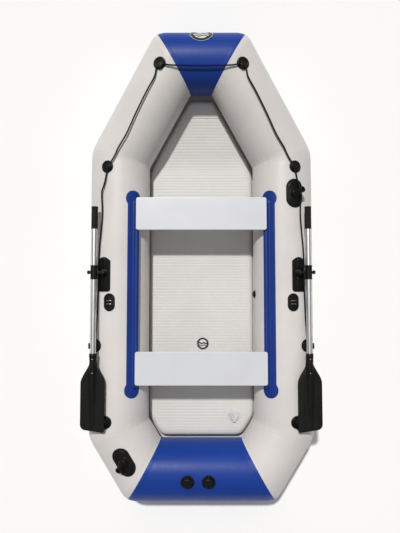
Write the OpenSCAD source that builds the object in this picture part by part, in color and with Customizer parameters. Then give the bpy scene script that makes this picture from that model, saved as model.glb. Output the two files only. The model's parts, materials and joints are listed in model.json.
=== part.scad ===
// Inflatable rowing boat: a closed ring of air tubes, a ribbed air deck, two sliding bench
// seats, a grab line, two rod sockets and a pair of oars stowed along the sides.
// Millimetres. +Y points to the bow, +X to starboard, +Z up. The origin is on the ground
// under the middle of the boat.

/* [Hull] */
// Overall length, bow to stern
hull_length = 3000; // [2900:10:3100]
// Width across the side tubes
hull_beam = 1455; // [1435:5:1480]
// Outer diameter of the air tubes
tube_d = 384; // [376:2:392]
// Thickness of the coated fabric of the tubes
skin_t = 2; // [1.5:0.5:3]
// How far the bow tube is lifted above the side tubes
bow_rise = 127; // [110:1:140]
// Half the length of the bow tube's axis
bow_half = 182; // [170:2:190]
// Half the length of the stern tube's axis
stern_half = 370; // [360:2:380]
// Where the side tubes bend in towards the bow
shoulder_y = 711; // [700:1:720]
// Where the side tubes bend in towards the stern
quarter_y = -1039; // [-1045:1:-1030]

/* [Floor] */
// Height of the underside of the bottom sheet
sheet_z = 30; // [28:1:34]
// Thickness of the bottom sheet
sheet_t = 2; // [1.5:0.5:3]
// Thickness of the inflated deck
deck_t = 70; // [60:1:72]
// Gap kept from the tubes' axes to the edge of the deck
deck_inset = 180; // [174:1:186]
// Front edge of the deck on the centre line
deck_front_y = 1126; // [1000:1:1128]

/* [Seats] */
// Length of a seat board, across the boat
seat_len = 820; // [814:2:826]
// Width of a seat board, along the boat
seat_w = 206; // [190:2:210]
// Thickness of a seat board
seat_t = 16; // [12:1:18]
// Middle of the front seat
front_seat_y = 319; // [300:1:322]
// Middle of the rear seat
rear_seat_y = -645; // [-660:1:-630]

/* [Oars] */
// Height of a stowed oar's axis
oar_z = 412; // [410:1:416]
// Distance of a stowed oar's axis from the centre line
oar_x = 663; // [660:1:666]
// Where the oarlocks stand along the boat
oarlock_y = -52; // [-60:1:-45]
// Outer diameter of the oar shaft
shaft_d = 34; // [30:1:34]
// Width of the blade
blade_w = 148; // [120:2:156]

/* [Fittings] */
// Diameter of the grab line
line_d = 10; // [6:1:11]
// Diameter of a rope eyelet's disc
eyelet_d = 80; // [70:2:84]
// Bore diameter of the rod sockets
rod_bore_d = 24; // [20:1:26]
// Depth of the bore of the rod sockets
rod_bore_depth = 66; // [50:1:68]
// Diameter of the throat of the air valves
throat_d = 46; // [44:1:47]

/* [Hidden] */
$fn = 96;

// Colours
pvc_grey = [0.86, 0.85, 0.84];
pvc_blue = [0.14, 0.24, 0.58];
black_rubber = [0.07, 0.07, 0.07];
board_grey = [0.88, 0.89, 0.91];
metal = [0.8, 0.81, 0.82];

// The ring of tube axes, starboard side, from the bow corner to the stern corner
tube_r = tube_d / 2;
side_x = hull_beam / 2 - tube_r;
end_y = hull_length / 2 - tube_r;
bow_corner = [bow_half, end_y, tube_r + bow_rise];
shoulder = [side_x, shoulder_y, tube_r];
quarter = [side_x, quarter_y, tube_r];
stern_corner = [stern_half, -end_y, tube_r];

// The floor slopes up towards the bow with the tubes beside it
floor_slope = bow_rise / (end_y - shoulder_y);
deck_z = sheet_z + sheet_t;
deck_top = deck_z + deck_t;
deck_arc_r = 700;

// Seat rails: a flat strip with a bead on a web, on the inner shoulder of each side tube
rail_tilt = -33.5;
rail_w = 86;
rail_end_r = 45;
rail_aft_y = -788;
rail_fore_y = 427;
bead_tilt = -38;
bead_r = 13;
bead_lift = skin_t + bead_r;
bead_web = 6;
bead_aft_y = -775;
bead_fore_y = 408;
bead_x = side_x + (tube_r + bead_lift) * sin(bead_tilt);
bead_z = tube_r + (tube_r + bead_lift) * cos(bead_tilt);
hook_gap = 0.4;
hook_r = bead_r + hook_gap + 3.2;
hook_len = 170;
hook_open_from = 250;
hook_open_to = 440;
flange_len = 34;
flange_t = 4;
screw_r = 3;
screw_inset = 25;
seat_z = bead_z + hook_r;

// Oarlocks and oars, for the starboard side. Along an oar, 0 is at its pin.
swivel_x = 610;
swivel_r = 8;
swivel_top = 388;
swivel_depth = 16;
stub_r = 6;
fit = 0.05;
shaft_r = shaft_d / 2;
collar_len = 86;
collar_r = shaft_r + 4.5;
knob_screw_r = 5;
neck_y = -504;
blade_tip_y = -976;
grip_from_y = 270;
grip_to_y = 410;
button_y = -530;

// Rope eyelets on the starboard side: [tube end, tube end, station, tilt, turn of the hole,
// how far its boss stands back along the tube, how many degrees its boss is turned inboard]
bow_eyelet = [shoulder, bow_corner, 640, 9, 30, 14, 4.2];
shoulder_eyelet = [quarter, shoulder, 1659, 18, 20, 0, 5.4];
aft_eyelet = [quarter, shoulder, 532, 39, 2, 0, 0];
stern_eyelet = [quarter, shoulder, 67, 16, 2, 0, 0];
eyelet_hole_r = line_d / 2 + 2;
eyelet_hole_lift = 14;
eyelet_boss_r = 17;

// Oar rests on the aft eyelets
rest_from_x = 640;
rest_to_x = 692;
rest_z = 372;
rest_r = 9;

// Centre of the grab line on the starboard side, from the middle of the bow to the stern
line_route = [
    [0, 1216, 508], [120, 1217, 508], [205, 1221, 510],
    [238, 1227, 510], [273, 1208, 503], [287, 1157, 496],
    [306, 1121, 490], [327, 1087, 484], [403, 946, 457], [470, 811, 430],
    [520, 733, 412], [540, 693, 403], [557, 662, 400],
    [574, 638, 394], [587, 602, 391], [597, 572, 391], [606, 524, 388],
    [616, 490, 385], [626, 462, 381], [627, 430, 380], [625, 390, 380],
    [623, 350, 379], [624, 290, 377], [631, 200, 373], [638, 130, 369],
    [642, 60, 367], [644, -20, 366], [645, -150, 364], [652, -330, 356],
    [662, -470, 352], [665, -488, 352], [665, -526, 352],
    [661, -560, 352], [640, -700, 366], [606, -900, 386],
    [594, -950, 390], [592, -994, 390], [592, -998, 390]
];
knot_r = 0.8 * line_d;
knot_lift = 3;

// How far a rod socket leans, and how far its lean is turned outboard
rod_lean = 22;
rod_turn = 48;
rod_reach = 80;
rod_wall = 6;
rod_pad = [110, 184];
rod_pad_step = [80, 150];

// Air valves: their places along the stern tube and on the deck, and their shared sizes
valve_tilt = 6.6;
port_valve_x = -84;
starboard_valve_x = 45;
deck_valve_place = [218, -989];
valve_ring_r = 30;
valve_wall = 2;
valve_depth = 40;
valve_ring_h = 14;
cap_hinge_x = -38;
cap_hinge_z = 17;
cap_pin_r = 2;
stem_r = 4;

// ---------------------------------------------------------------- helpers

function unit(v) = v / norm(v);

// Half space behind a plane through a point, as a large block
module behind(point, normal) {
    n = unit(normal);
    big = 2 * hull_length;
    translate(point)
        rotate([0, acos(n[2]), atan2(n[1], n[0])])
            translate([-big / 2, -big / 2, -big])
                cube(big);
}

// Round bar from one point to another, run past both by extra
module bar(from, to, r, extra = 0) {
    v = to - from;
    n = unit(v);
    translate(from - n * extra)
        rotate([0, acos(n[2]), atan2(n[1], n[0])])
            cylinder(h = norm(v) + 2 * extra, r = r);
}

// One straight tube of the ring, mitred against the tubes before and after it
module ring_tube(before, from, to, after, outer_r, inner_r) {
    along = unit(to - from);
    intersection() {
        difference() {
            bar(from, to, outer_r, tube_d);
            bar(from, to, inner_r, tube_d + 1);
        }
        behind(to, along + unit(after - to));
        behind(from, -along - unit(from - before));
    }
}

function flip(p) = [-p[0], p[1], p[2]];

// Puts children on the tube from a to b: +Y along the tube, +Z out of it at the tilt angle
module on_tube(a, b, station, tilt) {
    n = unit(b - a);
    translate(a + n * station)
        rotate([0, 0, atan2(-n[0], n[1])])
            rotate([asin(n[2]), 0, 0])
                rotate([0, tilt, 0])
                    children();
}

// Skin of thickness t that lies on the tube, cut to the children's outline
module patch(t, lift = 0) {
    reach = tube_r + lift + t + 20;
    intersection() {
        rotate([90, 0, 0])
            difference() {
                cylinder(h = 4 * tube_d, r = tube_r + lift + t, center = true, $fn = 180);
                cylinder(h = 4 * tube_d + 2, r = tube_r + lift, center = true, $fn = 180);
            }
        linear_extrude(height = reach)
            children();
    }
}

// Keeps what is outside the tube that the children stand on
module above_tube(height = 0) {
    difference() {
        children();
        rotate([90, 0, 0])
            cylinder(h = 4 * tube_d, r = tube_r + height, center = true, $fn = 180);
    }
}

module port() {
    mirror([1, 0, 0])
        children();
}

// Rectangle with half-round ends along Y
module stadium(w, len) {
    square([w, len - w], center = true);
    for (s = [-1, 1])
        translate([0, s * (len - w) / 2])
            circle(d = w);
}

module rounded_rect(w, len, r) {
    square([w, len - 2 * r], center = true);
    square([w - 2 * r, len], center = true);
    for (sx = [-1, 1], sy = [-1, 1])
        translate([sx * (w / 2 - r), sy * (len / 2 - r)])
            circle(r = r);
}

// ---------------------------------------------------------------- air tubes

module bow_tube() {
    color(pvc_blue)
        ring_tube(flip(shoulder), flip(bow_corner), bow_corner, shoulder,
                  tube_r, tube_r - skin_t);
}

module stern_tube() {
    color(pvc_blue)
        difference() {
            ring_tube(flip(quarter), flip(stern_corner), stern_corner, quarter,
                      tube_r, tube_r - skin_t);
            for (x = [port_valve_x, starboard_valve_x])
                on_tube(flip(stern_corner), stern_corner, x + stern_half, valve_tilt)
                    translate([0, 0, tube_r - 30])
                        cylinder(h = 60, r = throat_d / 2 + valve_wall);
        }
}

module bow_side_shape() {
    ring_tube(flip(bow_corner), bow_corner, shoulder, quarter, tube_r, tube_r - skin_t);
}

module side_shape() {
    ring_tube(bow_corner, shoulder, quarter, stern_corner, tube_r, tube_r - skin_t);
}

module stern_side_shape() {
    ring_tube(shoulder, quarter, stern_corner, flip(stern_corner), tube_r, tube_r - skin_t);
}

module starboard_bow_tube() {
    color(pvc_grey)
        bow_side_shape();
}

module port_bow_tube() {
    color(pvc_grey)
        port() bow_side_shape();
}

module starboard_side_tube() {
    color(pvc_grey)
        difference() {
            side_shape();
            relief_place()
                translate([0, 0, tube_r - 20])
                    cylinder(h = 40, r = 12);
        }
}

module port_side_tube() {
    color(pvc_grey)
        port() side_shape();
}

module starboard_stern_tube() {
    color(pvc_grey)
        stern_side_shape();
}

module port_stern_tube() {
    color(pvc_grey)
        port() stern_side_shape();
}

// Fabric walls inside the ring, which divide it into a port and a starboard chamber
module baffle(place) {
    color(pvc_grey)
        translate(place)
            rotate([0, 90, 0])
                cylinder(h = skin_t, r = tube_r - skin_t, center = true);
}

module bow_baffle() {
    baffle([0, bow_corner[1], bow_corner[2]]);
}

module stern_baffle() {
    baffle([(port_valve_x + starboard_valve_x) / 2, stern_corner[1], stern_corner[2]]);
}

// ---------------------------------------------------------------- floor

// Inner corners of the ring, moved in from the tube axes by d
function inset_corner(before, at, after, d) =
    let (u = unit([at[0] - before[0], at[1] - before[1]]))
    let (v = unit([after[0] - at[0], after[1] - at[1]]))
    let (nu = [u[1], -u[0]])
    let (nv = [v[1], -v[0]])
    [at[0], at[1]] + d * (nu + nv) / (1 + nu * nv);

function inset_side(d) = [
    inset_corner(flip(bow_corner), bow_corner, shoulder, d),
    inset_corner(bow_corner, shoulder, quarter, d),
    inset_corner(shoulder, quarter, stern_corner, d),
    inset_corner(quarter, stern_corner, flip(stern_corner), d)
];

module inset_outline(d) {
    side = inset_side(d);
    polygon(concat(side, [for (i = [3:-1:0]) [-side[i][0], side[i][1]]]));
}

// Slab from height low to high that runs level and then slopes up from the shoulders
module floor_slab(low, high, width) {
    rise = floor_slope * (end_y - shoulder_y);
    rotate([90, 0, 90])
        translate([0, 0, -width / 2])
            linear_extrude(height = width)
                polygon([
                    [-end_y, low], [shoulder_y, low], [end_y, low + rise],
                    [end_y, high + rise], [shoulder_y, high], [-end_y, high]
                ]);
}

module bottom_sheet() {
    color(pvc_grey)
        difference() {
            intersection() {
                floor_slab(sheet_z, sheet_z + sheet_t, hull_beam);
                linear_extrude(height = tube_d)
                    inset_outline(60);
            }
            bar(flip(bow_corner), bow_corner, tube_r, tube_d);
            bar(flip(stern_corner), stern_corner, tube_r, tube_d);
            for (s = [0, 1])
                mirror([s, 0, 0]) {
                    bar(bow_corner, shoulder, tube_r, tube_d);
                    bar(shoulder, quarter, tube_r, tube_d);
                    bar(quarter, stern_corner, tube_r, tube_d);
                }
        }
}

module deck_outline(inset) {
    arc_y = deck_front_y - deck_arc_r;
    intersection() {
        inset_outline(deck_inset + inset);
        union() {
            translate([0, arc_y])
                circle(r = deck_arc_r - inset, $fn = 180);
            translate([-hull_beam, arc_y - hull_length])
                square([2 * hull_beam, hull_length]);
        }
    }
}

module air_deck() {
    color(pvc_grey)
        difference() {
            intersection() {
                floor_slab(deck_z, deck_top, hull_beam);
                linear_extrude(height = tube_d)
                    deck_outline(0);
            }
            intersection() {
                floor_slab(deck_z + skin_t, deck_top - skin_t, hull_beam + 10);
                linear_extrude(height = tube_d)
                    deck_outline(skin_t);
            }
            translate([deck_valve_place[0], deck_valve_place[1], deck_top - 20])
                cylinder(h = 40, r = throat_d / 2 + valve_wall);
        }
}

module deck_badge() {
    color(black_rubber)
        translate([10, -516, deck_top])
            cylinder(h = 1, r = 38);
}

module bow_badge() {
    color(black_rubber)
        on_tube(flip(bow_corner), bow_corner, bow_half, -43)
            patch(1)
                circle(r = 74);
}

// ---------------------------------------------------------------- seat rails and seats

module seat_rail_shape() {
    middle = (rail_fore_y + rail_aft_y) / 2 - quarter_y;
    len = rail_fore_y - rail_aft_y;
    on_tube(quarter, shoulder, middle, rail_tilt)
        patch(skin_t) {
            square([rail_w, len], center = true);
            for (s = [-1, 1])
                translate([0, s * len / 2])
                    circle(r = rail_end_r);
        }
    bead_len = bead_fore_y - bead_aft_y;
    on_tube(quarter, shoulder, (bead_fore_y + bead_aft_y) / 2 - quarter_y, bead_tilt) {
        translate([0, bead_len / 2, tube_r + bead_lift])
            rotate([90, 0, 0])
                cylinder(h = bead_len, r = bead_r);
        above_tube(skin_t / 2)
            translate([-bead_web / 2, -bead_len / 2, tube_r - 2])
                cube([bead_web, bead_len, bead_lift - bead_r + 4]);
    }
}

module starboard_seat_rail() {
    color(pvc_blue)
        seat_rail_shape();
}

module port_seat_rail() {
    color(pvc_blue)
        port() seat_rail_shape();
}

module at_screws(y) {
    for (s = [-1, 1], e = [-1, 1])
        translate([s * (bead_x - screw_inset), y + e * hook_len / 3, seat_z])
            children();
}

module seat_board(y) {
    color(board_grey)
        difference() {
            translate([0, y, seat_z])
                linear_extrude(height = seat_t)
                    rounded_rect(seat_len, seat_w, 14);
            at_screws(y)
                translate([0, 0, -1])
                    cylinder(h = 10, r = screw_r, $fn = 32);
        }
}

// Wedge between two angles, as cut out of the hook's ring
module wedge(from, to, r) {
    step = (to - from) / 5;
    polygon(concat([[0, 0]], [for (a = [from:step:to]) r * [cos(a), sin(a)]]));
}

// Open-sided channel that grips the rail's bead, with a flange under the board
module seat_hook(y) {
    difference() {
        translate([bead_x, y + hook_len / 2, bead_z])
            rotate([90, 0, 0])
                linear_extrude(height = hook_len)
                    difference() {
                        union() {
                            difference() {
                                circle(r = hook_r);
                                wedge(hook_open_from, hook_open_to, 2 * hook_r);
                            }
                            translate([-flange_len, hook_r - flange_t])
                                square([flange_len + 2, flange_t]);
                        }
                        circle(r = bead_r + hook_gap);
                    }
        for (e = [-1, 1])
            translate([bead_x - screw_inset, y + e * hook_len / 3, seat_z - 10])
                cylinder(h = 12, r = screw_r, $fn = 32);
    }
}

module seat_hooks(y) {
    color(metal) {
        seat_hook(y);
        port() seat_hook(y);
    }
}

module seat_screws(y) {
    color(metal)
        at_screws(y) {
            translate([0, 0, -flange_t])
                cylinder(h = flange_t + 9, r = screw_r, $fn = 32);
            translate([0, 0, -flange_t - 3])
                cylinder(h = 3, r = 2 * screw_r, $fn = 32);
        }
}

module front_seat_board() {
    seat_board(front_seat_y);
}

module front_seat_hooks() {
    seat_hooks(front_seat_y);
}

module front_seat_screws() {
    seat_screws(front_seat_y);
}

module rear_seat_board() {
    seat_board(rear_seat_y);
}

module rear_seat_hooks() {
    seat_hooks(rear_seat_y);
}

module rear_seat_screws() {
    seat_screws(rear_seat_y);
}

// ---------------------------------------------------------------- grab line

// Rimmed disc with a raised boss, and a hole across the boss for the line
module eyelet(place) {
    on_tube(place[0], place[1], place[2], place[3]) {
        patch(4)
            circle(d = eyelet_d);
        patch(7)
            difference() {
                circle(d = eyelet_d - 12);
                circle(d = eyelet_d - 24);
            }
    }
    on_tube(place[0], place[1], place[2] - place[5], place[3] - place[6])
        difference() {
            union() {
                above_tube(2)
                    translate([0, 0, tube_r - 4])
                        cylinder(h = eyelet_hole_lift + 10, r = eyelet_boss_r);
                translate([0, 0, tube_r + eyelet_hole_lift + 6])
                    cylinder(h = 4, r1 = eyelet_boss_r, r2 = eyelet_boss_r - 4);
            }
            translate([0, 0, tube_r + eyelet_hole_lift])
                rotate([0, 0, place[4]])
                    rotate([90, 0, 0])
                        cylinder(h = 60, r = eyelet_hole_r, center = true);
        }
}

// Crossbar on top of the aft eyelet, with a roll at each side of the stowed shaft above it
module oar_rest() {
    y = quarter_y + aft_eyelet[2];
    for (x = [rest_from_x, rest_to_x])
        translate([x, y, rest_z])
            rotate([90, 0, 0])
                cylinder(h = 34, r = rest_r, center = true);
    bar([rest_from_x, y, rest_z], [rest_to_x, y, rest_z], rest_r - 2);
}

module rope_eyelets() {
    color(black_rubber)
        for (s = [0, 1])
            mirror([s, 0, 0]) {
                for (place = [bow_eyelet, shoulder_eyelet, aft_eyelet, stern_eyelet])
                    eyelet(place);
                oar_rest();
            }
}

// Round tube swept along a route, with the given number of sides
module swept(route, r, sides) {
    n = len(route);
    ring = [
        for (i = [0:n - 1])
            let (t = unit(route[min(i + 1, n - 1)] - route[max(i - 1, 0)]))
            let (across = unit(cross(t, [0, 0, 1])))
            let (up = cross(across, t))
            for (k = [0:sides - 1])
                route[i] + r * (cos(360 * k / sides) * across + sin(360 * k / sides) * up)
    ];
    quads = [
        for (i = [0:n - 2], k = [0:sides - 1])
            let (a = i * sides + k)
            let (b = i * sides + (k + 1) % sides)
            [a, b, b + sides, a + sides]
    ];
    polyhedron(
        points = ring,
        faces = concat(
            quads,
            [[for (k = [sides - 1:-1:0]) k]],
            [[for (k = [0:sides - 1]) (n - 1) * sides + k]]
        )
    );
}

module grab_line() {
    route = concat(
        [for (i = [len(line_route) - 1:-1:1]) flip(line_route[i])],
        line_route
    );
    color(black_rubber)
        swept(route, line_d / 2, 8);
}

// Stopper knots behind the last eyelets
module rope_knots() {
    last = line_route[len(line_route) - 1];
    color(black_rubber)
        for (s = [0, 1])
            mirror([s, 0, 0])
                translate([last[0], last[1] - knot_r, last[2] + knot_lift])
                    sphere(r = knot_r, $fn = 32);
}

// ---------------------------------------------------------------- oarlocks

module oarlock_outline() {
    translate([0, -17])
        rounded_rect(92, 204, 18);
    translate([0, 52])
        circle(r = 46);
}

module oarlock_base_shape() {
    difference() {
        union() {
            on_tube(quarter, shoulder, oarlock_y - quarter_y, 23) {
                patch(6)
                    oarlock_outline();
                patch(8.5)
                    for (s = [-1, 1])
                        translate([2, s * 58])
                            stadium(30, 66);
            }
            difference() {
                translate([swivel_x, oarlock_y, swivel_top - 40])
                    cylinder(h = 40, r = 20);
                translate([side_x, oarlock_y, tube_r])
                    rotate([90, 0, 0])
                        cylinder(h = 100, r = tube_r + 1, center = true, $fn = 180);
            }
        }
        translate([swivel_x, oarlock_y, swivel_top - swivel_depth])
            cylinder(h = swivel_depth + 4, r = swivel_r + fit);
    }
}

module starboard_oarlock_base() {
    color(black_rubber)
        oarlock_base_shape();
}

module port_oarlock_base() {
    color(black_rubber)
        port() oarlock_base_shape();
}

// Swivelling head: a pin in the base's socket and a cross bore for the collar's stub
module oarlock_head_shape() {
    stub_place = oar_x - swivel_x;
    difference() {
        translate([swivel_x, oarlock_y, 0]) {
            translate([0, 0, swivel_top - swivel_depth + 0.5])
                cylinder(h = 20, r = swivel_r);
            translate([0, 0, swivel_top + 0.4])
                cylinder(h = oar_z - swivel_top + 10, r = 14);
            translate([0, 0, oar_z + 10.4])
                cylinder(h = 3, r1 = 14, r2 = 11);
        }
        translate([swivel_x, oarlock_y, oar_z])
            rotate([0, 90, 0])
                cylinder(h = 2 * stub_place, r = stub_r + fit, center = true);
    }
}

module starboard_oarlock_head() {
    color(black_rubber)
        oarlock_head_shape();
}

module port_oarlock_head() {
    color(black_rubber)
        port() oarlock_head_shape();
}

// ---------------------------------------------------------------- oars

// Puts children at the oar's pin: +Y towards the grip, +X outboard
module at_oar() {
    translate([oar_x, oarlock_y, oar_z])
        children();
}

module along_x(from, to, r) {
    translate([from, 0, 0])
        rotate([0, 90, 0])
            cylinder(h = to - from, r = r);
}

module along_y(from, to, r) {
    translate([0, to, 0])
        rotate([90, 0, 0])
            cylinder(h = to - from, r = r);
}

module oar_collar_shape() {
    inner = swivel_x - oar_x;
    at_oar()
        difference() {
            union() {
                along_y(-collar_len / 2, collar_len / 2, collar_r);
                for (s = [-1, 1])
                    along_y(s * (collar_len / 2 - 4) - 4, s * (collar_len / 2 - 4) + 4,
                            collar_r + 1.5);
                along_x(inner + 14.5, -shaft_r - 1, 9);
                along_x(inner - 15.5, 0, stub_r);
                along_x(inner - 17.5, inner - 15, 8.5);
                along_x(0, collar_r + 6.5, 9);
            }
            along_y(-collar_len, collar_len, shaft_r + fit);
            along_x(0, 2 * collar_r, knob_screw_r + fit);
        }
}

module starboard_oar_collar() {
    color(black_rubber)
        oar_collar_shape();
}

module port_oar_collar() {
    color(black_rubber)
        port() oar_collar_shape();
}

// Thumb knob that clamps the shaft in its collar
module clamp_knob_shape() {
    at_oar() {
        along_x(shaft_r + 0.6, collar_r + 8, knob_screw_r);
        difference() {
            along_x(collar_r + 7, collar_r + 17, 12);
            for (a = [0:45:315])
                rotate([a, 0, 0])
                    translate([collar_r + 6, 0, 13])
                        rotate([0, 90, 0])
                            cylinder(h = 12, r = 2.6, $fn = 24);
        }
        along_x(collar_r + 16, collar_r + 20, 9);
    }
}

module starboard_clamp_knob() {
    color(black_rubber)
        clamp_knob_shape();
}

module port_clamp_knob() {
    color(black_rubber)
        port() clamp_knob_shape();
}

module oar_shaft_shape() {
    at_oar()
        difference() {
            along_y(neck_y - 56, grip_to_y - 5, shaft_r);
            along_y(neck_y - 57, grip_to_y - 4, shaft_r - 1.6);
            translate([0, button_y, 0])
                cylinder(h = 40, r = 4.1, $fn = 32);
        }
}

module starboard_oar_shaft() {
    color(metal)
        oar_shaft_shape();
}

module port_oar_shaft() {
    color(metal)
        port() oar_shaft_shape();
}

module oar_grip_shape() {
    at_oar()
        difference() {
            union() {
                along_y(grip_from_y, grip_to_y, shaft_r + 3);
                along_y(grip_to_y - 8, grip_to_y, shaft_r + 4);
                along_y(grip_from_y, grip_from_y + 6, shaft_r + 4);
            }
            along_y(grip_from_y - 1, grip_to_y - 5, shaft_r);
        }
}

module starboard_oar_grip() {
    color(black_rubber)
        oar_grip_shape();
}

module port_oar_grip() {
    color(black_rubber)
        port() oar_grip_shape();
}

// Blade outline: shoulders that widen from the neck, straight edges and a slanted tip
module blade_outline() {
    half = blade_w / 2;
    shoulder_at = neck_y - 170;
    outer = 28;
    inner = 14;
    slant = 22;
    polygon([
        [-20, neck_y - 30], [20, neck_y - 30], [half, shoulder_at],
        [half, blade_tip_y + slant + outer], [half - outer, blade_tip_y + slant],
        [inner - half, blade_tip_y], [-half, blade_tip_y + inner],
        [-half, shoulder_at]
    ]);
    translate([half - outer, blade_tip_y + slant + outer])
        circle(r = outer);
    translate([inner - half, blade_tip_y + inner])
        circle(r = inner);
}

module oar_blade_shape() {
    rib_end = blade_tip_y + 60;
    at_oar()
        difference() {
            union() {
                translate([0, 0, -3.5])
                    linear_extrude(height = 7)
                        blade_outline();
                along_y(neck_y - 62, neck_y, shaft_r + 4);
                along_y(neck_y - 12, neck_y, shaft_r + 6);
                translate([0, neck_y - 61, 0])
                    rotate([90, 0, 0])
                        cylinder(h = neck_y - 61 - rib_end, r1 = shaft_r + 4, r2 = 6);
            }
            along_y(neck_y - 56, neck_y + 1, shaft_r);
            translate([0, button_y, 0])
                cylinder(h = 40, r = 4.1, $fn = 32);
        }
}

module starboard_oar_blade() {
    color(black_rubber)
        oar_blade_shape();
}

module port_oar_blade() {
    color(black_rubber)
        port() oar_blade_shape();
}

// Spring button that locks the blade on the shaft
module blade_button_shape() {
    at_oar()
        translate([0, button_y, 0]) {
            translate([0, 0, shaft_r - 8])
                cylinder(h = 14, r = 4.05, $fn = 32);
            translate([0, 0, shaft_r - 9])
                cylinder(h = 3, r = 6, $fn = 32);
        }
}

module starboard_blade_button() {
    color(metal)
        blade_button_shape();
}

module port_blade_button() {
    color(metal)
        port() blade_button_shape();
}

// ---------------------------------------------------------------- fittings on the tubes

module strap_pad_shape() {
    on_tube(quarter, shoulder, -237 - quarter_y, 11) {
        patch(5)
            stadium(72, 112);
        patch(9)
            for (y = [-20, 0, 20])
                translate([0, y])
                    square([42, 8], center = true);
    }
}

module starboard_strap_pad() {
    color(black_rubber)
        strap_pad_shape();
}

module port_strap_pad() {
    color(black_rubber)
        port() strap_pad_shape();
}

// Rubber pad with a leaning tube that takes a rod or a pole
module rod_socket_shape() {
    difference() {
        union() {
            patch(5)
                stadium(rod_pad[0], rod_pad[1]);
            patch(9)
                stadium(rod_pad_step[0], rod_pad_step[1]);
            above_tube(4)
                rod_direction()
                    cylinder(h = rod_reach, r = rod_bore_d / 2 + rod_wall);
            above_tube(4)
                translate([0, 0, tube_r])
                    cylinder(h = 24, r1 = 36, r2 = 22);
            rod_direction()
                translate([0, 0, rod_reach - 8])
                    cylinder(h = 8, r = rod_bore_d / 2 + rod_wall + 2);
        }
        rod_direction()
            translate([0, 0, rod_reach - rod_bore_depth])
                cylinder(h = rod_bore_depth + 1, r = rod_bore_d / 2);
    }
}

// +Z along the rod, from a point just under the pad
module rod_direction() {
    translate([0, -6, tube_r - 2])
        rotate([0, 0, -rod_turn])
            rotate([-rod_lean, 0, 0])
                children();
}

module side_rod_socket() {
    color(black_rubber)
        on_tube(quarter, shoulder, 450 - quarter_y, 16)
            rod_socket_shape();
}

module stern_rod_socket() {
    color(black_rubber)
        on_tube(flip(quarter), flip(stern_corner), 180, 11)
            rod_socket_shape();
}

module relief_place() {
    on_tube(quarter, shoulder, -186 - quarter_y, -80)
        children();
}

module relief_valve() {
    color(black_rubber)
        relief_place() {
            patch(3)
                circle(r = 27);
            above_tube(1)
                translate([0, 0, tube_r])
                    cylinder(h = 12, r = 17);
            difference() {
                translate([0, 0, tube_r - 18])
                    cylinder(h = 24, r = 12);
                translate([0, 0, tube_r - 19])
                    cylinder(h = 18, r = 9);
            }
        }
}

// ---------------------------------------------------------------- air valves

// Valve parts stand on the surface at height 0, with the cap's hinge towards -X
module valve_ring() {
    throat_r = throat_d / 2;
    lug_y = 9;
    difference() {
        union() {
            cylinder(h = valve_ring_h, r = valve_ring_r);
            translate([0, 0, -valve_depth])
                cylinder(h = valve_depth + 1, r = throat_r + valve_wall);
        }
        translate([0, 0, -valve_depth - 1])
            cylinder(h = valve_depth + valve_ring_h + 2, r = throat_r);
    }
    difference() {
        translate([0, 0, -26])
            union() {
                for (a = [0, 90])
                    rotate(a)
                        translate([-throat_r - 1, -3, 0])
                            cube([2 * throat_r + 2, 6, 4]);
                cylinder(h = 8, r = 9);
            }
        translate([0, 0, -27])
            cylinder(h = 12, r = stem_r + fit);
    }
    for (s = [-1, 1])
        translate([cap_hinge_x - 4, s * lug_y - 2, 0]) {
            cube([10, 4, cap_hinge_z + 4]);
            cube([14, 4, valve_ring_h - 2]);
        }
    translate([cap_hinge_x, lug_y + 1, cap_hinge_z])
        rotate([90, 0, 0])
            cylinder(h = 2 * lug_y + 2, r = cap_pin_r);
}

module valve_stem() {
    translate([0, 0, -valve_depth - 3.5])
        cylinder(h = valve_depth + 6, r = stem_r);
    translate([0, 0, 1])
        cylinder(h = 4, r = 9);
    translate([0, 0, -valve_depth - 3.5])
        cylinder(h = 3, r = throat_d / 2 + valve_wall);
}

module valve_cap() {
    difference() {
        union() {
            translate([0, 0, valve_ring_h + 0.4])
                cylinder(h = 4, r = valve_ring_r + 1);
            translate([0, 0, valve_ring_h + 4])
                cylinder(h = 2.5, r1 = valve_ring_r - 3, r2 = valve_ring_r - 7);
            translate([0, 0, valve_ring_h - 4])
                cylinder(h = 5, r = throat_d / 2 - 0.5);
            translate([0, 0, valve_ring_h + 6])
                cylinder(h = 2.5, r = 6);
            translate([cap_hinge_x, 6, cap_hinge_z])
                rotate([90, 0, 0])
                    cylinder(h = 12, r = 4);
            translate([cap_hinge_x, -6, cap_hinge_z - 2.4])
                cube([14, 12, 4]);
        }
        translate([cap_hinge_x, 10, cap_hinge_z])
            rotate([90, 0, 0])
                cylinder(h = 20, r = cap_pin_r + fit);
    }
}

module at_tube_valve(x) {
    on_tube(flip(stern_corner), stern_corner, x + stern_half, valve_tilt)
        children();
}

module tube_valve_body(x) {
    color(black_rubber)
        at_tube_valve(x)
            difference() {
                union() {
                    patch(3)
                        circle(r = 42);
                    translate([0, 0, tube_r])
                        valve_ring();
                }
                translate([0, 0, tube_r - 2])
                    cylinder(h = 10, r = throat_d / 2);
            }
}

module tube_valve_stem(x) {
    color(black_rubber)
        at_tube_valve(x)
            translate([0, 0, tube_r])
                valve_stem();
}

module tube_valve_cap(x) {
    color(black_rubber)
        at_tube_valve(x)
            translate([0, 0, tube_r])
                valve_cap();
}

module at_deck_valve() {
    translate([deck_valve_place[0], deck_valve_place[1], deck_top])
        rotate(90)
            children();
}

module port_valve_body() {
    tube_valve_body(port_valve_x);
}

module starboard_valve_body() {
    tube_valve_body(starboard_valve_x);
}

module deck_valve_body() {
    color(metal)
        at_deck_valve()
            union() {
                valve_ring();
                difference() {
                    cylinder(h = 3, r = valve_ring_r + 13);
                    translate([0, 0, -1])
                        cylinder(h = 5, r = throat_d / 2);
                }
            }
}

module port_valve_stem() {
    tube_valve_stem(port_valve_x);
}

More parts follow.
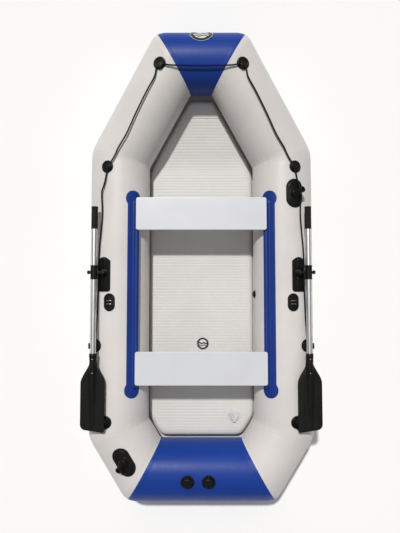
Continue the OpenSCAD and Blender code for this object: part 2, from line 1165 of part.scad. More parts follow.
module starboard_valve_stem() {
    tube_valve_stem(starboard_valve_x);
}

module deck_valve_stem() {
    color(metal)
        at_deck_valve()
            valve_stem();
}

module port_valve_cap() {
    tube_valve_cap(port_valve_x);
}

module starboard_valve_cap() {
    tube_valve_cap(starboard_valve_x);
}

module deck_valve_cap() {
    color(metal)
        at_deck_valve()
            valve_cap();
}

bow_tube();
stern_tube();
port_bow_tube();
starboard_bow_tube();
port_side_tube();
starboard_side_tube();
port_stern_tube();
starboard_stern_tube();
bow_baffle();
stern_baffle();
bottom_sheet();
air_deck();
port_seat_rail();
starboard_seat_rail();
rope_eyelets();
grab_line();
rope_knots();
port_oarlock_base();
starboard_oarlock_base();
port_strap_pad();
starboard_strap_pad();
side_rod_socket();
stern_rod_socket();
relief_valve();
bow_badge();
deck_badge();
port_valve_body();
starboard_valve_body();
deck_valve_body();
port_valve_stem();
starboard_valve_stem();
deck_valve_stem();
port_valve_cap();
starboard_valve_cap();
deck_valve_cap();
front_seat_board();
front_seat_hooks();
front_seat_screws();
rear_seat_board();
rear_seat_hooks();
rear_seat_screws();
port_oarlock_head();
starboard_oarlock_head();
port_oar_collar();
starboard_oar_collar();
port_clamp_knob();
starboard_clamp_knob();
port_oar_shaft();
starboard_oar_shaft();
port_oar_grip();
starboard_oar_grip();
port_oar_blade();
starboard_oar_blade();
port_blade_button();
starboard_blade_button();
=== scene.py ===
"""Looks of the inflatable rowing boat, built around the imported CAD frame. Metres."""
import json
import math
from contextlib import contextmanager

import bmesh
import bpy
import numpy as np
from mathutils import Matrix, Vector

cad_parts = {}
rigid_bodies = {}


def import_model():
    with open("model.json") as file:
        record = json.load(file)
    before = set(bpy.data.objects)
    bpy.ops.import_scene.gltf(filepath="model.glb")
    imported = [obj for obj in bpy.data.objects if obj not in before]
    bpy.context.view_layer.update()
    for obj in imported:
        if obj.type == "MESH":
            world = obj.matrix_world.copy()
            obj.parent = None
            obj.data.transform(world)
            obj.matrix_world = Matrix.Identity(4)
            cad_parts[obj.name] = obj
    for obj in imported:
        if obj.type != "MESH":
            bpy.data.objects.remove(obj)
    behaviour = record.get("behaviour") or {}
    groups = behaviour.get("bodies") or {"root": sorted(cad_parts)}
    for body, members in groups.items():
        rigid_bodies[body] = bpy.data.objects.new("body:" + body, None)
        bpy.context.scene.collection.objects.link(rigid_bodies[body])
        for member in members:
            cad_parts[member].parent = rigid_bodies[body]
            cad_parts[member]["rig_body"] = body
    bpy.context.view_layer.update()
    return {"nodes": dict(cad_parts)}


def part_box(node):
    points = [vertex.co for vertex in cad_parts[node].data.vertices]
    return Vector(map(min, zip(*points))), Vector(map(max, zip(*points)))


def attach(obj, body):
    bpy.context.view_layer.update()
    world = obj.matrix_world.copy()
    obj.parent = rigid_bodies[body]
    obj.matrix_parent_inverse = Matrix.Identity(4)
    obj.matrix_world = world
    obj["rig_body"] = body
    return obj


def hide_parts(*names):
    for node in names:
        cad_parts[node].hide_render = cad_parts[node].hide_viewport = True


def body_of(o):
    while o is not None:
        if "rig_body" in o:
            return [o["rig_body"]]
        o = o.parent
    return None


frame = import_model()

NODES = frame["nodes"]

# ---- sizes, in metres
TUBE_R = 0.192
SIDE_X = 0.5355
END_Y = 1.308
BOW_Z = 0.319
BOW_HALF = 0.182
STERN_HALF = 0.370
SHOULDER_Y = 0.711
QUARTER_Y = -1.039
RING = [
    (-STERN_HALF, -END_Y, TUBE_R), (STERN_HALF, -END_Y, TUBE_R),
    (SIDE_X, QUARTER_Y, TUBE_R), (SIDE_X, SHOULDER_Y, TUBE_R),
    (BOW_HALF, END_Y, BOW_Z), (-BOW_HALF, END_Y, BOW_Z),
    (-SIDE_X, SHOULDER_Y, TUBE_R), (-SIDE_X, QUARTER_Y, TUBE_R),
]
RING = [np.array(p, float) for p in RING]
FLOOR_SLOPE = (BOW_Z - TUBE_R) / (END_Y - SHOULDER_Y)
SHEET_Z = 0.030
DECK_LOW = 0.032
DECK_TOP = 0.102
DECK_INSET = 0.183
DECK_FRONT_Y = 1.125
DECK_ARC_R = 0.700
OAR_X, OAR_Y, OAR_Z = 0.663, -0.052, 0.412
LINE_D = 0.010
SIDES = (("port", -1), ("starboard", 1))

LINE_ROUTE = [
    (0, 1216, 508), (120, 1217, 508), (205, 1221, 510),
    (238, 1227, 510), (273, 1208, 503), (287, 1157, 496),
    (306, 1121, 490), (327, 1087, 484), (403, 946, 457), (470, 811, 430),
    (520, 733, 412), (540, 693, 403), (557, 662, 400),
    (574, 638, 394), (587, 602, 391), (597, 572, 391), (606, 524, 388),
    (616, 490, 385), (626, 462, 381), (627, 430, 380), (625, 390, 380),
    (623, 350, 379), (624, 290, 377), (631, 200, 373), (638, 130, 369),
    (642, 60, 367), (644, -20, 366), (645, -150, 364), (652, -330, 356),
    (662, -470, 352), (665, -488, 352), (665, -526, 352),
    (661, -560, 352), (640, -700, 366), (606, -900, 386),
    (594, -950, 390), (592, -994, 390), (592, -998, 390),
]


# ---- camera
camera_data = bpy.data.cameras.new("camera")
camera = bpy.data.objects.new("camera", camera_data)
bpy.context.scene.collection.objects.link(camera)
bpy.context.scene.camera = camera
camera.location = (0.0, -0.2063, 3.6065)
camera.rotation_euler = (0.0634, 0.0, 0.0)
camera_data.sensor_width = 36.0
camera_data.lens = 34.95
camera_data.shift_x = -0.0024
camera_data.shift_y = -0.0038
camera_data.clip_end = 60.0


# ---- shader helpers
class Tree:
    """A node tree with short calls to add a node and to set or link an input."""

    def __init__(self, tree):
        self.tree = tree

    def put(self, socket, value):
        if hasattr(value, "is_linked"):
            self.tree.links.new(value, socket)
        else:
            socket.default_value = value

    def node(self, kind, inputs=None, **settings):
        """Adds a node, sets or links its inputs, and gives back its outputs."""
        made = self.tree.nodes.new("ShaderNode" + kind)
        for key, value in settings.items():
            setattr(made, key, value)
        for key, value in (inputs or {}).items():
            self.put(made.inputs[key], value)
        return made.outputs

    def mix(self, factor, a, b):
        return self.node("Mix", {"Factor": factor, 6: a, 7: b}, data_type="RGBA")[2]


class Shader(Tree):
    """A Principled material with short calls for the nodes that the finishes share."""

    def __init__(self, name, roughness=0.5, **sockets):
        self.mat = bpy.data.materials.new(name)
        self.mat.use_nodes = True
        super().__init__(self.mat.node_tree)
        self.tree.nodes.clear()
        out = self.tree.nodes.new("ShaderNodeOutputMaterial")
        self.bsdf = self.tree.nodes.new("ShaderNodeBsdfPrincipled")
        self.tree.links.new(self.bsdf.outputs[0], out.inputs[0])
        self.bsdf.inputs["Roughness"].default_value = roughness
        for key, value in sockets.items():
            self.bsdf.inputs[key.replace("_", " ")].default_value = value
        self.object = self.node("TexCoord")["Object"]

    def attribute(self, name):
        return self.node("Attribute", attribute_name=name)["Vector"]

    def split(self, vector):
        return self.node("SeparateXYZ", {0: vector})

    def stretch(self, vector, scale):
        return self.node("VectorMath", {0: vector, 1: scale}, operation="MULTIPLY")[0]

    def noise(self, vector, scale, detail=3.0, rough=0.55):
        inputs = {"Vector": vector, "Scale": scale, "Detail": detail, "Roughness": rough}
        return self.node("TexNoise", inputs)["Fac"]

    def math(self, op, a, b=0.0, clamp=False):
        return self.node("Math", {0: a, 1: b}, operation=op, use_clamp=clamp)[0]

    def wave(self, value, turn):
        return self.math("SINE", self.math("MULTIPLY", value, turn))

    def remap(self, value, low, high, to_low=0.0, to_high=1.0):
        return self.node("MapRange", {0: value, 1: low, 2: high, 3: to_low, 4: to_high})[0]

    def bump(self, height, distance, strength=1.0, normal=None):
        inputs = {"Strength": strength, "Distance": distance, "Height": height}
        if normal is not None:
            inputs["Normal"] = normal
        return self.node("Bump", inputs)[0]

    def finish(self, color, roughness=None, normal=None):
        self.put(self.bsdf.inputs["Base Color"], color)
        if roughness is not None:
            self.put(self.bsdf.inputs["Roughness"], roughness)
        if normal is not None:
            self.put(self.bsdf.inputs["Normal"], normal)
        return self.mat


def rgb(r, g, b):
    return (r, g, b, 1.0)


def shade(color, factor):
    return tuple(min(1.0, c * factor) for c in color[:3]) + (1.0,)


def coated_fabric(name, color, roughness, gloss=0.35, cloth=True, weave=0.0011, dirt=0.06):
    """PVC coated fabric: a fine plain weave under the coating, mottling and handling marks."""
    s = Shader(name, roughness, Specular_IOR_Level=gloss)
    where = s.attribute("cloth") if cloth else s.object
    broad = s.noise(s.object, 3.1, 4.0)
    fine = s.noise(s.object, 46.0, 3.0)
    scuff = s.noise(s.stretch(s.object, (18.0, 5.0, 9.0)), 3.0, 6.0, 0.7)
    tint = s.mix(s.remap(broad, 0.3, 0.7), shade(color, 1.0 - dirt),
                 shade(color, 1.0 + dirt * 0.6))
    tint = s.mix(s.remap(scuff, 0.62, 0.8, 0.0, 0.35), tint, shade(color, 1.0 - 2.2 * dirt))
    axes = s.split(where)
    turn = 2.0 * math.pi / weave
    cross = s.math("MULTIPLY", s.wave(axes[0], turn), s.wave(axes[1], turn))
    normal = s.bump(cross, 0.00003, 0.5)
    normal = s.bump(fine, 0.0004, 0.25, normal)
    rough = s.remap(s.math("ADD", broad, scuff), 0.7, 1.3, roughness - 0.04, roughness + 0.06)
    return s.finish(tint, rough, normal)


GREY = rgb(0.700, 0.672, 0.655)
BLUE = rgb(0.009, 0.046, 0.290)
RAIL_BLUE = rgb(0.009, 0.036, 0.225)
DECK_GREY = rgb(0.655, 0.640, 0.620)

pvc_grey = coated_fabric("pvc_grey", GREY, 0.42)
pvc_blue = coated_fabric("pvc_blue", BLUE, 0.43, 0.22, dirt=0.10)
pvc_rail = coated_fabric("pvc_rail", RAIL_BLUE, 0.38, 0.34, dirt=0.10)
pvc_plain = coated_fabric("pvc_plain", GREY, 0.45, cloth=False)
pvc_deck = coated_fabric("pvc_deck", DECK_GREY, 0.47, cloth=False, weave=0.0014)


def moulded_plastic(name, color, roughness, grain=900.0, depth=0.00012, wear=0.5, gloss=0.16):
    """Moulded plastic or rubber: fine spark grain, faint flow marks and paler rubbed spots."""
    s = Shader(name, roughness, Specular_IOR_Level=gloss)
    speck = s.noise(s.object, grain, 2.0, 0.6)
    cloud = s.noise(s.object, 14.0, 4.0)
    rubbed = s.noise(s.stretch(s.object, (1.0, 0.35, 1.0)), 60.0, 5.0, 0.7)
    tint = s.mix(s.remap(cloud, 0.3, 0.7), shade(color, 0.8), shade(color, 1.25))
    pale = tuple(min(1.0, c * 1.6 + 0.008) for c in color[:3]) + (1.0,)
    tint = s.mix(s.remap(rubbed, 0.6, 0.8, 0.0, wear), tint, pale)
    rough = s.remap(s.math("ADD", speck, rubbed), 0.7, 1.3, roughness - 0.10, roughness + 0.12)
    return s.finish(tint, rough, s.bump(speck, depth, 0.5))


black_rubber = moulded_plastic("black_rubber", rgb(0.0050, 0.0052, 0.0048), 0.33, gloss=0.22)
black_plastic = moulded_plastic("black_plastic", rgb(0.0055, 0.0060, 0.0052), 0.40, gloss=0.20)
blade_plastic = moulded_plastic("blade_plastic", rgb(0.0075, 0.0080, 0.0068), 0.44, 700.0)
grip_rubber = moulded_plastic("grip_rubber", rgb(0.012, 0.013, 0.012), 0.60, 1500.0, 0.0002)
grey_plastic = moulded_plastic("grey_plastic", rgb(0.60, 0.60, 0.60), 0.35, wear=0.2, gloss=0.5)


def metal(name, color, roughness, along=(30.0, 2.0, 30.0)):
    """Satin anodised or brushed metal with drawn lines along one axis."""
    s = Shader(name, roughness, Metallic=1.0)
    lines = s.noise(s.stretch(s.object, along), 40.0, 3.0, 0.6)
    cloud = s.noise(s.object, 9.0, 3.0)
    tint = s.mix(s.remap(cloud, 0.3, 0.7), shade(color, 0.93), shade(color, 1.04))
    rough = s.remap(lines, 0.3, 0.7, roughness - 0.07, roughness + 0.09)
    return s.finish(tint, rough, s.bump(lines, 0.00005, 0.4))


shaft_metal = metal("shaft_metal", rgb(0.80, 0.81, 0.82), 0.38)
hook_metal = metal("hook_metal", rgb(0.66, 0.67, 0.69), 0.36)
steel = metal("steel", rgb(0.62, 0.62, 0.63), 0.24, (8.0, 8.0, 8.0))


def painted_board():
    s = Shader("painted_board", 0.33)
    cloud = s.noise(s.object, 5.0, 4.0)
    grain = s.noise(s.stretch(s.object, (4.0, 60.0, 60.0)), 6.0, 5.0, 0.6)
    scratch = s.noise(s.stretch(s.object, (2.0, 40.0, 40.0)), 11.0, 6.0, 0.75)
    base = rgb(0.679, 0.689, 0.729)
    tint = s.mix(s.remap(cloud, 0.3, 0.7), shade(base, 0.965), shade(base, 1.02))
    tint = s.mix(s.remap(scratch, 0.66, 0.8, 0.0, 0.25), tint, shade(base, 0.86))
    rough = s.remap(grain, 0.3, 0.7, 0.27, 0.42)
    return s.finish(tint, rough, s.bump(grain, 0.0002, 0.3))


board_paint = painted_board()


def braided_rope():
    """Polyester braid: two families of strands that cross, with a few pale fibres."""
    s = Shader("braided_rope", 0.75, Specular_IOR_Level=0.2)
    axes = s.split(s.attribute("cloth"))
    lay = 2.0 * math.pi
    one = s.wave(s.math("ADD", axes[0], axes[1]), lay)
    two = s.wave(s.math("SUBTRACT", axes[0], axes[1]), lay)
    strands = s.math("MAXIMUM", one, two)
    fibre = s.noise(s.object, 2500.0, 2.0)
    tint = s.mix(s.remap(strands, -0.2, 1.0), rgb(0.003, 0.003, 0.003),
                 rgb(0.011, 0.010, 0.010))
    tint = s.mix(s.remap(fibre, 0.6, 0.75, 0.0, 0.35), tint, rgb(0.03, 0.029, 0.027))
    return s.finish(tint, None, s.bump(strands, 0.0006, 0.6))


rope_braid = braided_rope()


# ---- mesh helpers
@contextmanager
def editing(obj):
    """A bmesh of the piece, written back at the end."""
    work = bmesh.new()
    work.from_mesh(obj.data)
    yield work
    work.to_mesh(obj.data)
    work.free()
    obj.data.update()


def mesh_object(name, verts, faces, material, slot, body="hull"):
    """A smooth piece with its faces turned outwards, on its body, with its material. The slot
    argument is not used.
    """
    mesh = bpy.data.meshes.new(name)
    mesh.from_pydata([tuple(v) for v in verts], [], [tuple(f) for f in faces])
    mesh.validate()
    mesh.update()
    obj = bpy.data.objects.new(name, mesh)
    bpy.context.scene.collection.objects.link(obj)
    mesh.materials.append(material)
    mesh.polygons.foreach_set("use_smooth", [True] * len(mesh.polygons))
    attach(obj, body)
    with editing(obj) as work:
        bmesh.ops.recalc_face_normals(work, faces=work.faces)
    return obj


def tube_object(name, rings, *finish):
    """A piece from a stack of closed rings of points, with both ends closed."""
    rings = np.array(rings)
    return mesh_object(name, rings.reshape(-1, 3), capped(*rings.shape[:2]), *finish)


def sharpen(obj, degrees=35.0):
    """Smooth shading that keeps edges steeper than the angle crisp."""
    limit = math.radians(degrees)
    with editing(obj) as work:
        for edge in work.edges:
            if len(edge.link_faces) == 2:
                edge.smooth = edge.calc_face_angle(0.0) < limit


def quads(rows, cols, closed=False, start=0):
    """Faces of a grid of rows x cols vertices; closed joins the last column to the first."""
    faces = []
    for r in range(rows - 1):
        for c in range(cols if closed else cols - 1):
            d = (c + 1) % cols
            a = start + r * cols
            b = start + (r + 1) * cols
            faces.append((a + c, a + d, b + d, b + c))
    return faces


def capped(rows, cols):
    """Faces of a tube of rings with both of its ends closed."""
    faces = quads(rows, cols, True)
    faces.append(tuple(range(cols - 1, -1, -1)))
    faces.append(tuple((rows - 1) * cols + c for c in range(cols)))
    return faces


def ring_faces(rows, cols):
    """Faces of a tube of rings whose last ring joins the first."""
    last = (rows - 1) * cols
    return quads(rows, cols, True) + [
        (last + c, last + (c + 1) % cols, (c + 1) % cols, c) for c in range(cols)]


def border_loop(rows, cols):
    """Vertices round the border of a grid, in order."""
    loop = list(range(cols)) + [r * cols + cols - 1 for r in range(1, rows)]
    loop += [(rows - 1) * cols + c for c in range(cols - 2, -1, -1)]
    return loop + [r * cols for r in range(rows - 2, 0, -1)]


def slab(rows, cols, levels=0):
    """Faces of two grids, one over the other, joined round their borders.

    Chains of points between the borders follow the grids in the list of vertices.
    """
    size = rows * cols
    faces = quads(rows, cols) + [f[::-1] for f in quads(rows, cols, start=size)]
    loop = border_loop(rows, cols)
    chains = [loop]
    for k in range(levels):
        chains.append([2 * size + k * len(loop) + i for i in range(len(loop))])
    chains.append([size + i for i in loop])
    for up, down in zip(chains, chains[1:]):
        faces += zip(up, up[1:] + up[:1], down[1:] + down[:1], down)
    return faces


def circle(sides):
    """Angles of the corners of a circle."""
    return np.arange(sides) * 2 * math.pi / sides


def corner_vectors(obj, name, per_vertex, fix=None):
    """Stores a vector on each face corner, so that a wrap seam doesn't smear."""
    mesh = obj.data
    layer = mesh.attributes.new(name, "FLOAT_VECTOR", "CORNER")
    index = np.zeros(len(mesh.loops), int)
    mesh.loops.foreach_get("vertex_index", index)
    value = np.array(per_vertex, float)[index]
    if fix is not None:
        starts = np.zeros(len(mesh.polygons), int)
        totals = np.zeros(len(mesh.polygons), int)
        mesh.polygons.foreach_get("loop_start", starts)
        mesh.polygons.foreach_get("loop_total", totals)
        for s, t in zip(starts, totals):
            v = value[s:s + t, 1]
            if v.max() - v.min() > fix / 2:
                v[v < v.max() - fix / 2] += fix
    layer.data.foreach_set("vector", value.astype(np.float32).ravel())


def unit(v):
    v = np.asarray(v, float)
    return v / np.linalg.norm(v)


def apply_modifiers(obj):
    graph = bpy.context.evaluated_depsgraph_get()
    done = bpy.data.meshes.new_from_object(obj.evaluated_get(graph))
    old = obj.data
    obj.modifiers.clear()
    obj.data = done
    bpy.data.meshes.remove(old)


def moulded(node, material, voxel=0.0012, rounds=6, keep=0.35):
    """A CAD piece with its edges softened as a mould leaves them."""
    source = NODES[node]
    obj = bpy.data.objects.new(node + "_moulded", source.data.copy())
    bpy.context.scene.collection.objects.link(obj)
    with editing(obj) as work:
        bmesh.ops.remove_doubles(work, verts=work.verts, dist=1e-6)
    remesh = obj.modifiers.new("remesh", "REMESH")
    remesh.mode = "VOXEL"
    remesh.voxel_size = voxel
    soften = obj.modifiers.new("soften", "SMOOTH")
    soften.factor = 0.5
    soften.iterations = rounds
    thin = obj.modifiers.new("thin", "DECIMATE")
    thin.ratio = keep
    apply_modifiers(obj)
    obj.data.materials.clear()
    obj.data.materials.append(material)
    obj.data.polygons.foreach_set("use_smooth", [True] * len(obj.data.polygons))
    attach(obj, body_of(source)[0])
    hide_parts(node)


# ---- grab line
def between(a, b, ta, tb, t):
    """The point at t on the straight line that passes a at ta and b at tb."""
    return (tb - t) / (tb - ta) * a + (t - ta) / (tb - ta) * b


def smooth_route(points, step):
    """Centripetal Catmull-Rom curve through the points, resampled at equal steps."""
    p = np.array(points, float)
    p = np.vstack([2 * p[0] - p[1], p, 2 * p[-1] - p[-2]])
    curve = []
    for i in range(1, len(p) - 2):
        a, b, c, d = p[i - 1], p[i], p[i + 1], p[i + 2]
        t0 = 0.0
        t1 = t0 + np.linalg.norm(b - a) ** 0.5
        t2 = t1 + np.linalg.norm(c - b) ** 0.5
        t3 = t2 + np.linalg.norm(d - c) ** 0.5
        for t in np.linspace(t1, t2, 24, endpoint=False):
            a1, a2 = between(a, b, t0, t1, t), between(b, c, t1, t2, t)
            a3 = between(c, d, t2, t3, t)
            b1, b2 = between(a1, a2, t0, t2, t), between(a2, a3, t1, t3, t)
            curve.append(between(b1, b2, t1, t2, t))
    curve.append(p[-2])
    curve = np.array(curve)
    seg = np.linalg.norm(np.diff(curve, axis=0), axis=1)
    at = np.concatenate([[0.0], np.cumsum(seg)])
    count = max(8, int(round(at[-1] / step)))
    where = np.linspace(0, at[-1], count + 1)
    return np.column_stack([np.interp(where, at, curve[:, k]) for k in range(3)]), at[-1]


def carried_frames(path, closed=False):
    """Two normals along a path, carried without twist."""
    if closed:
        tangent = np.roll(path, -1, axis=0) - np.roll(path, 1, axis=0)
    else:
        tangent = np.gradient(path, axis=0)
    tangent /= np.linalg.norm(tangent, axis=1)[:, None]
    start = np.cross(tangent[0], (0, 0, 1.0))
    if np.linalg.norm(start) < 1e-6:
        start = np.array((1.0, 0, 0))
    normal = [unit(start)]
    for t in tangent[1:]:
        n = normal[-1] - t * (normal[-1] @ t)
        normal.append(unit(n))
    normal = np.array(normal)
    return normal, np.cross(tangent, normal)


ROPE_STEP = 0.0026
BRAID_RELIEF = 0.0003
BRAID_LAY = 0.011
STRANDS = 4


def rope_tube(name, path, radius, sides, closed=False):
    """Rope swept along a path, with the strands of its braid raised."""
    normal, side = carried_frames(path, closed)
    seg = np.linalg.norm(np.diff(path, axis=0), axis=1)
    at = np.concatenate([[0.0], np.cumsum(seg)])
    angle = circle(sides)
    verts, cloth = [], []
    for i in range(len(path)):
        turn = at[i] / BRAID_LAY
        bump = np.maximum(np.sin(STRANDS * (angle + turn * math.pi / 2)),
                          np.sin(STRANDS * (angle - turn * math.pi / 2)))
        r = radius - BRAID_RELIEF + BRAID_RELIEF * bump
        ring = path[i] + (np.cos(angle) * r)[:, None] * normal[i]
        ring = ring + (np.sin(angle) * r)[:, None] * side[i]
        verts.extend(ring)
        cloth.extend((STRANDS * turn / 4, STRANDS * a / (2 * math.pi), 0.0) for a in angle)
    rows = len(path)
    faces = ring_faces(rows, sides) if closed else capped(rows, sides)
    obj = mesh_object(name, verts, faces, rope_braid, "rope")
    corner_vectors(obj, "cloth", cloth, float(STRANDS))
    return obj


half_route = [np.array(p, float) / 1000 for p in LINE_ROUTE]
full_route = [p * (-1, 1, 1) for p in half_route[:0:-1]] + half_route
line_path, line_length = smooth_route(full_route, ROPE_STEP)


KNOT_SIZE = 0.0024
KNOT_LINE_R = 0.0040
KNOT_OFFSET = (0, -0.008, 0.003)


def stopper_knot(name, center):
    """Overhand stopper knot, as a closed three lobed loop of the same line."""
    t = np.linspace(0, 2 * math.pi, 90, endpoint=False)
    lobes = np.column_stack([
        np.sin(t) + 2 * np.sin(2 * t),
        np.cos(t) - 2 * np.cos(2 * t),
        -np.sin(3 * t) * 1.15,
    ]) * KNOT_SIZE
    path = np.column_stack([lobes[:, 0], lobes[:, 2], lobes[:, 1]]) + center
    return rope_tube(name, path, KNOT_LINE_R, 12, closed=True)


knot_center = half_route[-1] + KNOT_OFFSET
knots = [stopper_knot("starboard_knot", knot_center),
         stopper_knot("port_knot", knot_center * (-1, 1, 1))]
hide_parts("rope_knots")
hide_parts("rope_knots")
line = rope_tube("grab_rope", line_path, LINE_D / 2, 14)
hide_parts("grab_line")


# ---- air tubes
def turn_to(v, a, b):
    """v turned by the shortest rotation from direction a to direction b."""
    axis = np.cross(a, b)
    s = np.linalg.norm(axis)
    if s < 1e-9:
        return v
    axis = axis / s
    c = float(a @ b)
    return v * c + np.cross(axis, v) * s + axis * (axis @ v) * (1 - c)


AROUND = 144
OUTER_ROUND = 0.070
INNER_ROUND = 0.012
NEAR = [0.0, 0.002, 0.006, 0.012, 0.018, 0.0225, 0.0245, 0.0265, 0.029, 0.034, 0.041,
        0.047, 0.0495, 0.0515, 0.054, 0.060, 0.070, 0.084, 0.100, 0.125, 0.155]


def ring_frames():
    """Direction, outward and upward normals of each tube at its two ends."""
    count = len(RING)
    direction = [unit(RING[(i + 1) % count] - RING[i]) for i in range(count)]
    out = [None] * count
    out[0] = (np.array((0, -1.0, 0)),) * 2
    v = out[0][0]
    for i in (1, 2, 3):
        v = turn_to(v, direction[i - 1], direction[i])
        out[i] = (v, v)
    bow_start = turn_to(v, direction[3], direction[4])
    mirror = np.array((-1.0, 1, 1))
    out[4] = (bow_start, bow_start * mirror)
    for i, j in ((5, 3), (6, 2), (7, 1)):
        out[i] = (out[j][0] * mirror,) * 2
    return direction, out


DIRECTION, OUT = ring_frames()


def smooth_step(x, low, high):
    t = np.clip((x - low) / (high - low), 0, 1)
    return t * t * (3 - 2 * t)


def tube_grid(i, radius, along_at, angles, lift=None):
    """Points on tube i. along_at gives positions from one seam to the other for a length."""
    count = len(RING)
    a, b = RING[i], RING[(i + 1) % count]
    d = DIRECTION[i]
    before, after = DIRECTION[i - 1], DIRECTION[(i + 1) % count]
    mitre_a, mitre_b = unit(before + d), unit(d + after)
    rows = []
    cloth = []
    for theta in angles:
        def offset(share):
            e = unit(OUT[i][0] * (1 - share) + OUT[i][1] * share)
            up = np.cross(d, e) * -1.0
            if up[2] < 0:
                up = -up
            return radius * (math.cos(theta) * e + math.sin(theta) * up)
        oa, ob = offset(0.0), offset(1.0)
        start = a + oa - d * ((oa @ mitre_a) / (d @ mitre_a))
        end = b + ob - d * ((ob @ mitre_b) / (d @ mitre_b))
        length = float((end - start) @ d)
        axial = float((start - a) @ d)
        side = 0.5 + 0.5 * math.cos(theta)
        h = INNER_ROUND + (OUTER_ROUND - INNER_ROUND) * side ** 2
        at = along_at(length)
        line = []
        for s in at:
            share = s / length
            o = offset(share)
            r_dir = unit(o)
            base = a + d * (axial + s) + o
            ra, rb = max(0.0, h - s), max(0.0, h - (length - s))
            p = base + (d - before) * (ra * ra / (4 * h)) + (after - d) * (rb * rb / (4 * h))
            if lift is not None:
                p = p + r_dir * lift(s, length - s, theta)
            line.append(p)
        rows.append(line)
        cloth.append([(axial + s, theta * radius, 0.0) for s in at])
    return np.array(rows), np.array(cloth)


def near_far(length, middle=14):
    """Positions along a tube, close together at the seams."""
    half = length / 2
    scale = min(1.0, half / (NEAR[-1] * 1.02))
    near = [n * scale for n in NEAR]
    mid = list(np.linspace(near[-1], length - near[-1], middle + 2)[1:-1])
    return near + mid + [length - n for n in near[::-1]]


def pucker(distance, theta):
    """Small gathers in the fabric along a seam, strongest on the inner side."""
    inner = (0.5 - 0.5 * math.cos(theta)) ** 2
    wave = 0.5 + 0.5 * math.sin(27 * theta + 1.7 * math.sin(5 * theta))
    return -0.0013 * (0.15 + inner) * wave * math.exp(-((distance - 0.006) / 0.034) ** 2)


BLUE_TUBES = (0, 4)
# Each lap's height, and where its step starts and ends, from the seam
BLUE_LAP = (0.0011, 0.0225, 0.0265)
COVERED_LAP = (0.0007, 0.0475, 0.0520)
GREY_LAP = (0.0007, 0.0205, 0.0245)


def skin_lift(i):
    """How far a skin stands over the tube: the laps at its seams, gathers and slow waves."""
    laps = []
    for beside in ((i - 1) % 8, (i + 1) % 8):
        grey = COVERED_LAP if beside in BLUE_TUBES else GREY_LAP
        laps.append(BLUE_LAP if i in BLUE_TUBES else grey)

    def lift(sa, sb, theta):
        total = 0.0
        for s, (height, start, end) in zip((sa, sb), laps):
            total += height * (1 - smooth_step(s, start, end))
            total += pucker(s, theta)
        slow = math.sin(3.1 * sa + 2 * theta) * math.sin(1.7 * sa - theta + i)
        return total + 0.0006 * slow
    return lift


TUBE_NODES = ["stern_tube", "starboard_stern_tube", "starboard_side_tube", "starboard_bow_tube",
              "bow_tube", "port_bow_tube", "port_side_tube", "port_stern_tube"]


def cut_bore(obj, center, axis, radius, depth):
    """Opens a round hole from the surface inwards, where a valve passes through."""
    bpy.ops.mesh.primitive_cylinder_add(vertices=64, radius=radius, depth=depth)
    tool = bpy.context.object
    tool.rotation_mode = "QUATERNION"
    tool.rotation_quaternion = Vector(axis).to_track_quat("Z", "Y")
    tool.location = center
    bpy.context.view_layer.update()
    cut = obj.modifiers.new("bore", "BOOLEAN")
    cut.operation = "DIFFERENCE"
    cut.solver = "EXACT"
    cut.object = tool
    apply_modifiers(obj)
    bpy.data.objects.remove(tool)


def spin(axis, angle):
    """Rotation matrix about x, y or z, numbered 0, 1 and 2."""
    i, j = (axis + 1) % 3, (axis + 2) % 3
    m = np.eye(3)
    m[i, i] = m[j, j] = math.cos(angle)
    m[i, j], m[j, i] = -math.sin(angle), math.sin(angle)
    return m


def on_tube(a, b, station, tilt):
    """Frame on a tube: origin on its axis, columns across, along and out at the tilt."""
    n = unit(b - a)
    turn = spin(2, math.atan2(-n[0], n[1])) @ spin(0, math.asin(n[2]))
    return a + n * station, turn @ spin(1, math.radians(tilt))


STERN_A, STERN_B = RING[0], RING[1]
QUARTER, SHOULDER = RING[2], RING[3]
VALVE_X = (-0.084, 0.045)
VALVE_TILT = 6.6
VALVE_BORE_R, VALVE_BORE_DEPTH = 0.0252, 0.110
RELIEF_Y, RELIEF_TILT = -0.186, -80
RELIEF_BORE_R, RELIEF_BORE_DEPTH = 0.0122, 0.050

skins = {}
for i, node in enumerate(TUBE_NODES):
    theta = circle(AROUND) - math.pi / 2
    grid, cloth = tube_grid(i, TUBE_R, near_far, theta, skin_lift(i))
    cols, rows = grid.shape[:2]
    verts = grid.transpose(1, 0, 2).reshape(-1, 3)
    cloth = cloth.transpose(1, 0, 2).reshape(-1, 3)
    faces = quads(rows, cols, True)
    centers = [verts[:cols].mean(0), verts[-cols:].mean(0)]
    verts = np.vstack([verts, centers])
    cloth = np.vstack([cloth, np.zeros((2, 3))])
    base = rows * cols
    for c in range(cols):
        d = (c + 1) % cols
        faces.append((base, d, c))
        faces.append((base + 1, base - cols + c, base - cols + d))
    blue = i in BLUE_TUBES
    skin = mesh_object(node.replace("tube", "skin"), verts, faces,
                       pvc_blue if blue else pvc_grey, "blue_pvc" if blue else "grey_pvc")
    corner_vectors(skin, "cloth", cloth, 2 * math.pi * TUBE_R)
    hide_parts(node)
    skins[node] = skin

for x in VALVE_X:
    place, turn = on_tube(STERN_A, STERN_B, x + STERN_HALF, VALVE_TILT)
    cut_bore(skins["stern_tube"], place + turn[:, 2] * TUBE_R, turn[:, 2],
             VALVE_BORE_R, VALVE_BORE_DEPTH)
place, turn = on_tube(QUARTER, SHOULDER, RELIEF_Y - QUARTER_Y, RELIEF_TILT)
cut_bore(skins["starboard_side_tube"], place + turn[:, 2] * TUBE_R, turn[:, 2],
         RELIEF_BORE_R, RELIEF_BORE_DEPTH)
for skin in skins.values():
    sharpen(skin, 40.0)


